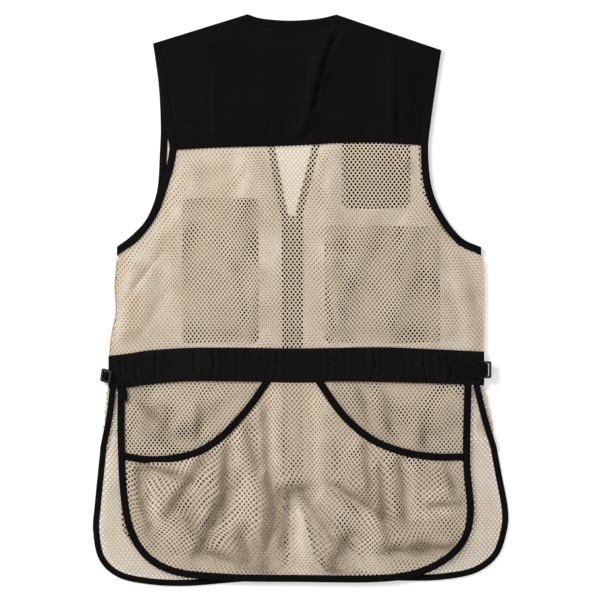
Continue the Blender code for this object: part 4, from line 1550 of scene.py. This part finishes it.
@dataclass
class Seams:
    """The rolled seams at the shoulders and down the sides.

    Attributes:
        pattern: The cut of the vest.
        finishes: Every finish.
        shoulder: How far a shoulder's roll stands out, its width, its underside and its height.
        side: The same for the roll down a side.
        step: The distance between points along a seam.
    """

    pattern: Pattern
    finishes: Finishes
    shoulder: tuple[float, float, float, float] = (0.2, 5.5, 0.5, 4.3)
    side: tuple[float, float, float, float] = (0.3, 2.2, 1.6, 2.9)
    step: float = 1.5

    def roll(self, name: str, line: Line, out: float, width: float, base: float,
             rise: float) -> bpy.types.Object:
        """A round seam along a line that has the garment on its right."""
        edges = moved_in(line, -out), moved_in(line, width - out)
        return Tape(name, *edges, np.full(len(line), base), ROLL_SECTION, rise, len(name), 0.2).piece()

    def build(self) -> None:
        """Both shoulders and both sides."""
        corners = {Side.LEFT: (self.pattern.armholes_back[Side.LEFT][0], self.pattern.neck[0]),
                   Side.RIGHT: (self.pattern.neck[-1], self.pattern.armholes_back[Side.RIGHT][0])}
        for side in Side:
            shoulder = resampled(np.array(corners[side], dtype=float), self.step)
            piece = self.roll(f"shoulder_seam_{side.value}", shoulder, *self.shoulder)
            dress(piece, self.finishes.get("cloth"), Slot.CLOTH)
            line = smooth_line(self.pattern.sides[side], self.step)
            line = line[::-1] if side is Side.LEFT else line
            piece = self.roll(f"side_seam_{side.value}", line, *self.side)
            dress(piece, self.finishes.get("net"), Slot.NET)


@dataclass
class Belt:
    """The wide belt across the back, creased where it is drawn in."""

    pattern: Pattern
    layers: Layers
    finishes: Finishes
    step: float = 1.5
    rows: int = 15
    stitch_at: tuple[float, ...] = (0.06, 0.94)
    depth: float = 1.6
    dip: float = -1.1
    swell_share: float = -0.55
    swell_reach: float = 3.2
    swell_top: float = 2.2
    held_share: float = 0.3
    held_width: float = 7.0
    loose: tuple[Waves, Waves] = (Waves(0.45, 21, 22, 0.3), Waves(0.15, 22, 9))
    creases: tuple[Fold, ...] = (
        Fold(-243, -72, -240, -116, -1.3, 2.1), Fold(-236, -73, -233, -100, -1.0, 1.9),
        Fold(-222, -90, -220, -113, -1.0, 2.4), Fold(-194, -68, -196, -113, -1.4, 2.6),
        Fold(-142, -66, -141, -98, -1.1, 2.6), Fold(-118, -63, -116, -88, -1.6, 2.6),
        Fold(-116, -88, -121, -112, -1.4, 2.4), Fold(-85, -72, -83, -100, -0.9, 3.2),
        Fold(-52, -64, -50, -84, -1.0, 2.7), Fold(-32, -66, -30, -88, -1.3, 2.2),
        Fold(-30, -88, -35, -110, -0.9, 2.7), Fold(36, -66, 40, -86, -1.3, 2.4),
        Fold(40, -86, 37, -110, -1.1, 2.4), Fold(62, -68, 60, -104, -0.8, 3.6),
        Fold(89, -64, 87, -84, -1.2, 2.4), Fold(99, -72, 101, -90, -1.6, 2.1),
        Fold(101, -90, 96, -110, -1.4, 2.4), Fold(140, -70, 142, -108, -0.8, 3.2),
        Fold(167, -66, 166, -88, -1.4, 2.2), Fold(166, -88, 171, -111, -1.1, 2.4),
        Fold(188, -76, 192, -100, -1.6, 2.1), Fold(198, -80, 204, -98, -1.4, 2.1),
        Fold(206, -88, 200, -110, -1.3, 2.1), Fold(213, -74, 216, -92, -1.2, 1.9),
        Fold(222, -84, 224, -108, -1.3, 2.1), Fold(236, -74, 234, -96, -0.8, 2.4),
    )

    def section(self) -> list[At]:
        """A flat section with round edges and a groove at each row of stitches."""
        tall = self.layers.belt
        shares = np.linspace(0.03, 0.97, self.rows)
        upper = [At(float(x), tall - 0.3 * sum(math.exp(-(((x - at) / 0.015) ** 2)) for at in self.stitch_at))
                 for x in shares]
        return [At(0, 0.55 * tall), At(0.008, 0.9 * tall), *upper, At(0.992, 0.9 * tall), At(1, 0.55 * tall),
                At(0.985, 0.08), At(0.9, 0), At(0.5, 0), At(0.1, 0), At(0.015, 0.08)]

    def relief(self, points: np.ndarray) -> np.ndarray:
        """Creases as sharp troughs between soft swells, flatter at the stitched edges."""
        upper, lower = self.pattern.belt(self.step)
        edge = np.minimum(nearest(points, upper)[0], nearest(points, lower)[0])
        trough = ridges(points, self.creases)
        beside = [crease._replace(height=self.swell_share * crease.height,
                                  width=self.swell_reach * crease.width) for crease in self.creases]
        swell = np.minimum(1.5 * ridges(points, beside), self.swell_top)
        loose = sum(waves.at(points) for waves in self.loose)
        free = self.held_share + (1 - self.held_share) * ease(edge, self.held_width)
        return free * (self.depth * trough + swell + 0.3 + loose)

    def build(self) -> None:
        """The belt and its stitches."""
        edges = self.pattern.belt(self.step)
        marks = np.linspace(0, 1, round(along_line(edges[0])[-1] / self.step))
        upper, lower = (between(marks, along_line(line) / along_line(line)[-1], line) for line in edges)
        base = np.full(len(upper), self.layers.over_back)
        length = along_line((upper + lower) / 2)

        def relief(along: np.ndarray, across: np.ndarray) -> np.ndarray:
            """The creases, from the place along the belt and across it."""
            start, end = (between(along, length, line) for line in (upper, lower))
            return np.maximum(self.relief(start + (end - start) * across[:, None]), self.dip)

        piece = swept_piece("belt_cloth", upper, lower, base, self.section(), relief)
        dress(piece, self.finishes.get("elastic"), Slot.ELASTIC, "belt")
        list(cut_of(np.vstack([upper, lower[::-1]])))
        rows = []
        for share in self.stitch_at:
            line = upper + (lower - upper) * share
            tops = base + self.layers.belt - 0.25 + relief(length, np.full(len(line), share))
            rows.append(np.column_stack([line, tops]))
        dress(Stitching().piece("belt_stitches", rows), self.finishes.get("thread"), Slot.ELASTIC)


@dataclass
class Adjuster:
    """A side adjuster: a flat three-bar buckle, with webbing over its middle bar.

    Attributes:
        side: The side of the vest that it is on.
        centre: The middle of the buckle, in millimetres.
        length: The buckle's size along the webbing's run.
        width: The buckle's size along its bars.
        turns: How far it leans about X, then Y, then Z, in degrees.
    """

    side: Side
    centre: Spot
    length: float
    width: float
    turns: Spot
    finishes: Finishes
    thick: float = 3.0
    bar: float = 3.2
    corner: float = 2.5
    slot_corner: float = 0.8
    edge: float = 0.45
    webbing_thick: float = 1.2
    webbing_gap: float = 0.2
    webbing_past: float = 1.5

    def bevelled(self, piece: bpy.types.Object, width: float, upright: bool) -> None:
        """Bevels the upright edges, or every edge that is still sharp."""
        with edited(piece) as work:
            if upright:
                edges = [edge for edge in work.edges if abs(edge.verts[0].co.z - edge.verts[1].co.z) > 1e-5]
            else:
                edges = [edge for edge in work.edges if edge.calc_face_angle(0) > math.radians(40)]
            bmesh.ops.bevel(work, geom=edges, offset=width * MM, segments=5 if upright else 2, profile=0.5,
                            affect="EDGES", clamp_overlap=True)

    def buckle(self) -> bpy.types.Object:
        """The buckle: a plate with round corners and two slots."""
        x, y, z = self.centre
        name, size = f"buckle_{self.side.value}", (self.length, self.width, self.thick)
        piece = block(f"adjuster_{name}", size, self.centre)
        self.bevelled(piece, self.corner, upright=True)
        slot = (self.length - 3 * self.bar) / 2
        for sign in (-1, 1):
            size = (slot, self.width - 2 * self.bar, 3 * self.thick)
            tool = block("slot", size, (x + sign * (self.bar + slot) / 2, y, z))
            self.bevelled(tool, self.slot_corner, upright=True)
            pick(piece)
            modified(piece, "BOOLEAN", operation="DIFFERENCE", object=tool, solver="EXACT")
            bpy.data.objects.remove(tool)
        self.bevelled(piece, self.edge, upright=False)
        self.turned(piece)
        bpy.ops.object.shade_smooth_by_angle(angle=math.radians(35))
        return dress(piece, self.finishes.get("plastic"), Slot.PLASTIC, name)

    def webbing(self) -> bpy.types.Object:
        """The webbing that comes up through one slot, over the middle bar and down through the other."""
        x, y, z = self.centre
        outer_bar = self.length / 2 - self.bar
        half = self.width / 2 - self.bar - self.webbing_gap
        run = np.linspace(-outer_bar - self.webbing_past, outer_bar + self.webbing_past, 49)
        rise = ease(outer_bar + self.webbing_gap - np.abs(run), outer_bar - self.bar / 2)
        low = z - self.thick / 2 - self.webbing_thick - 0.1
        base = low + (self.thick + self.webbing_thick + 0.25) * rise
        edges = [np.column_stack([x + run, np.full(len(run), y + sign * half)]) for sign in (1, -1)]
        name = f"adjuster_webbing_{self.side.value}"
        piece = Tape(name, *edges, base, WEBBING_SECTION, self.webbing_thick, 5, 0.08).piece()
        self.turned(piece)
        return dress(piece, self.finishes.get("strap"), Slot.ELASTIC)

    def turned(self, piece: bpy.types.Object) -> None:
        """Leans a piece with the buckle, about the buckle's middle."""
        pick(piece)
        bpy.ops.object.mode_set(mode="EDIT")
        bpy.ops.mesh.select_all(action="SELECT")
        for axis, turn in zip("XYZ", self.turns):
            bpy.ops.transform.rotate(value=math.radians(-turn), orient_axis=axis, orient_type="GLOBAL",
                                     center_override=scaled(self.centre))
        bpy.ops.object.mode_set(mode="OBJECT")


class Mark(NamedTuple):
    """Where a strap's two edges are at one place along X."""

    x: float
    upper: float
    lower: float


@dataclass
class Adjusters:
    """The adjusters at both ends of the belt."""

    layers: Layers
    finishes: Finishes
    strap_thick: float = 1.2
    over_buckle: float = 10.8
    climb: tuple[float, float] = (229.0, 9.5)
    drop: tuple[float, float, float] = (249.0, 3.8, 5.0)
    marks: tuple[Mark, ...] = (
        Mark(204.5, -81.0, -106.7), Mark(246.5, -83.2, -104.6),
        Mark(250.5, -85.8, -102.2), Mark(253, -86.0, -102.0),
    )

    def strap(self, side: Side, outer: Line, inner: Line, base: np.ndarray, seed: int, pucker: float) -> None:
        """One strap of webbing between two edges."""
        name = f"adjuster_strap_{side.value}"
        tape = Tape(f"{name}_webbing", outer, inner, base, WEBBING_SECTION, self.strap_thick, seed, pucker)
        dress(tape.piece(), self.finishes.get("strap"), Slot.ELASTIC, name)

    def right_strap(self) -> None:
        """The strap that comes off the belt and over the right buckle."""
        stretches = ((204.5, 229, 17), (230, 240, 11), (241, 247.5, 9), (248, 253, 13))
        xs = np.concatenate([np.linspace(*stretch) for stretch in stretches])
        over_buckle = self.over_buckle - self.strap_thick - self.layers.strap
        (start, run), (edge, fall, depth) = self.climb, self.drop
        base = self.layers.strap + over_buckle * ease(xs - start, run) - depth * ease(xs - edge, fall)
        marks, upper, lower = np.array(self.marks).T
        outer, inner = (np.column_stack([xs, np.interp(xs, marks, ys)]) for ys in (upper, lower))
        self.strap(Side.RIGHT, outer, inner, base, 5, 0.1)

    def left_strap(self) -> None:
        """The strap that hangs from the left buckle, creased along its length."""
        spots = [At(-242.6, -104), At(-242.6, -117), At(-240.0, -122), At(-239.7, -136.3)]
        line = resampled(smooth_line(spots, 1.5), 1.5)
        half = np.interp(line[:, 1], [-136.3, -118.5, -117, -104], [6.7, 6.6, 4.3, 4.35])
        beside = np.column_stack([half, 0 * half])
        self.strap(Side.LEFT, line + beside, line - beside, np.full(len(line), self.layers.strap), 9, 0.35)

    def build(self) -> None:
        """Both buckles and both straps."""
        left = Adjuster(Side.LEFT, (-261.8, -102.2, 9.15), 15.0, 18.5, (18.0, -20.0, -15.0), self.finishes)
        left.buckle()
        left.webbing()
        Adjuster(Side.RIGHT, (248.4, -94.0, 7.8), 17.6, 23.0, (0.0, 0.0, 0.0), self.finishes).buckle()
        self.right_strap()
        self.left_strap()


@dataclass
class Zip:
    """The zip between the fronts, closed up to the foot of the neck."""

    pattern: Pattern
    finishes: Finishes
    middle: float = -10.8
    width: float = 8.0
    base: float = 0.8
    thick: float = 0.8
    pitch: float = 2.6
    tooth: Spot = (2.8, 1.1, 0.9)
    tooth_bevel: float = 0.25
    row_offset: float = 0.9
    slider_length: float = 9.0
    slider_rise: float = 2.0
    slider_foot: float = 0.72
    slider_groove: float = 0.35
    slider_bevel: float = 0.4

    def tape(self) -> None:
        """The woven tape under the teeth."""
        ys = np.arange(self.pattern.zip_foot + self.pattern.seam / 2, self.pattern.zip_top, 2.0)
        ys = np.append(ys, self.pattern.zip_top)
        outer = np.column_stack([np.full(len(ys), self.middle - self.width / 2), ys])
        inner = outer + (self.width, 0)
        base = np.full(len(ys), self.base)
        tape = Tape("zip_tape", outer, inner, base, WEBBING_SECTION, self.thick, 3, 0.05)
        dress(tape.piece(), self.finishes.get("tape"), Slot.ZIP, "zip")

    def teeth(self) -> None:
        """Two rows of teeth, made from one tooth and repeated up the tape."""
        first = self.pattern.zip_foot + 3
        count = int((self.pattern.zip_top - 2 - first) / self.pitch)
        rows = []
        for sign in (-1, 1):
            at = (self.middle + sign * self.row_offset, first + (sign > 0) * self.pitch / 2,
                  self.base + self.thick + 0.2)
            rows.append(block("zip_teeth", self.tooth, at))
            modified(rows[-1], "BEVEL", width=self.tooth_bevel * MM, segments=1, limit_method="NONE")
            modified(rows[-1], "ARRAY", count=count, use_relative_offset=False, use_constant_offset=True,
                     constant_offset_displace=(0, self.pitch * MM, 0))
        pick(*rows)
        bpy.ops.object.join()
        dress(rows[0], self.finishes.get("plastic"), Slot.ZIP)

    def slider(self) -> None:
        """The slider's body, narrower at its lower end, with a groove down its middle."""
        low = self.pattern.zip_top + self.pattern.seam
        at = (self.middle, low + self.slider_length / 2, self.slider_rise / 2)
        piece = block("zip_slider_body", (self.width, self.slider_length, self.slider_rise), at)
        bpy.ops.object.mode_set(mode="EDIT")
        bpy.ops.mesh.select_all(action="SELECT")
        bpy.ops.mesh.subdivide(number_cuts=3)
        bpy.ops.object.mode_set(mode="OBJECT")
        for corner in piece.data.vertices:
            up = (corner.co.y / MM - low) / self.slider_length
            side = corner.co.x / MM - self.middle
            share = self.slider_foot + (1 - self.slider_foot) * up
            corner.co.x = (self.middle + side * share) * MM
            corner.co.z -= self.slider_groove * MM * (abs(side) < 0.5) * (corner.co.z > 1.5 * MM)
        modified(piece, "BEVEL", width=self.slider_bevel * MM, segments=2, angle_limit=math.radians(50))
        bpy.ops.object.shade_smooth_by_angle(angle=math.radians(40))
        dress(piece, self.finishes.get("metal"), Slot.PLASTIC, "zip_slider")

    def build(self) -> None:
        """The tape, its teeth and the slider."""
        self.tape()
        self.teeth()
        self.slider()


@dataclass
class Pockets:
    """The pockets and the shoulder patch on the fronts' outer side, under everything else."""

    finishes: Finishes
    layers: Layers
    step: float = 6.0
    seam: float = 3.0
    thick: float = 0.9
    loose: Waves = Waves(0.12, 0, 40)
    patches: tuple[Patch, ...] = (
        Patch("shoulder_patch_right", 102, 218, 93, 190, 10),
        Patch("chest_pocket_left", -108, 39.5, 103, 196, 6),
        Patch("chest_pocket_right", 110.5, 21, 156, 158, 6),
        Patch("shell_pocket_left", -150, -206.5, 184, 277, 50),
        Patch("shell_pocket_right", 134, -206.5, 184, 277, 50),
    )

    def height(self, seed: int, points: np.ndarray) -> np.ndarray:
        """The upper side of a patch, nearly flat."""
        return self.layers.cloth - 0.05 + self.loose._replace(seed=seed).at(points)

    def build(self) -> None:
        """Every patch, with a row of stitches round it."""
        rows = []
        for patch in self.patches:
            outline = box_outline(patch)
            height = partial(self.height, len(patch.name))
            piece = sheet_piece(f"{patch.name}_cloth", outline, self.step, height, self.thick)
            dress(piece, self.finishes.get("cloth"), Slot.CLOTH, patch.name)
            cut_of(outline)[1]
            line = closed(box_outline(patch._replace(
                width=patch.width - 2 * self.seam, height=patch.height - 2 * self.seam,
                corner=patch.corner - self.seam)))
            rows.append(np.column_stack([line, height(line) + 0.1]))
        dress(Stitching().piece("pocket_stitches", rows), self.finishes.get("thread"), Slot.CLOTH)


@dataclass
class Studio:
    """A plain pale floor, soft light, and the camera of the photograph."""

    frame_width: float = 0.81
    distance: float = 4.0
    sensor: float = 0.036
    middle: tuple[float, float] = (-0.000675, 0.0)
    glow: float = 0.32
    sky: float = 0.45

    def floor(self) -> None:
        """A wide floor just under the vest."""
        pick()
        bpy.ops.mesh.primitive_plane_add(size=12.0, location=(0, 0, 0))
        floor = bpy.context.object
        floor.name = "floor"
        made, shader, _, _ = new_material("pale_floor")
        put(shader, Base_Color=(0.93, 0.93, 0.93, 1.0), Roughness=0.9, Emission_Color=WHITE,
            Emission_Strength=self.glow)
        floor.data.materials.append(made)

    def light(self, name: str, at: Spot, size: float, power: float) -> None:
        """A soft square light that points at the vest."""
        data = bpy.data.lights.new(name, "AREA")
        data.energy, data.size = power, size
        lamp = bpy.data.objects.new(name, data)
        lamp.location = at
        lamp.rotation_euler = (-Vector(at)).to_track_quat("-Z", "Y").to_euler()
        bpy.context.scene.collection.objects.link(lamp)

    def camera(self) -> None:
        """The camera, straight above, as far off as a studio's."""
        data = bpy.data.cameras.new("camera")
        data.lens = self.sensor * self.distance / self.frame_width * 1000
        data.sensor_width = self.sensor * 1000
        camera = bpy.data.objects.new("camera", data)
        camera.location = (*self.middle, self.distance)
        bpy.context.scene.collection.objects.link(camera)
        bpy.context.scene.camera = camera

    def build(self) -> None:
        """The floor, the lights and the camera."""
        self.floor()
        world = bpy.data.worlds.new("studio")
        world.use_nodes = True
        put(world.node_tree.nodes["Background"], Color=WHITE, Strength=self.sky)
        bpy.context.scene.world = world
        bpy.context.scene.view_settings.view_transform = "Standard"
        self.light("key", (-1.6, 1.3, 1.35), 0.8, 48)
        self.light("fill", (1.6, -0.8, 2.0), 1.6, 6)
        self.camera()


def main() -> None:
    """Builds the vest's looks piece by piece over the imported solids."""
    logging.basicConfig(level=logging.INFO, format="%(message)s")
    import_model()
    layers, pattern, finishes = Layers(), Pattern(), Finishes()
    fine = Pattern(step=1.5)
    relief = Relief(layers, pattern)
    Studio().build()
    Pockets(finishes, layers).build()
    Nets(pattern, relief, finishes).build()
    Zip(pattern, finishes).build()
    Yoke(pattern, relief, finishes).build()
    Bindings(fine, relief, layers, finishes).build()
    Seams(pattern, finishes).build()
    Belt(pattern, layers, finishes).build()
    Adjusters(layers, finishes).build()


if __name__ == "__main__":
    main()
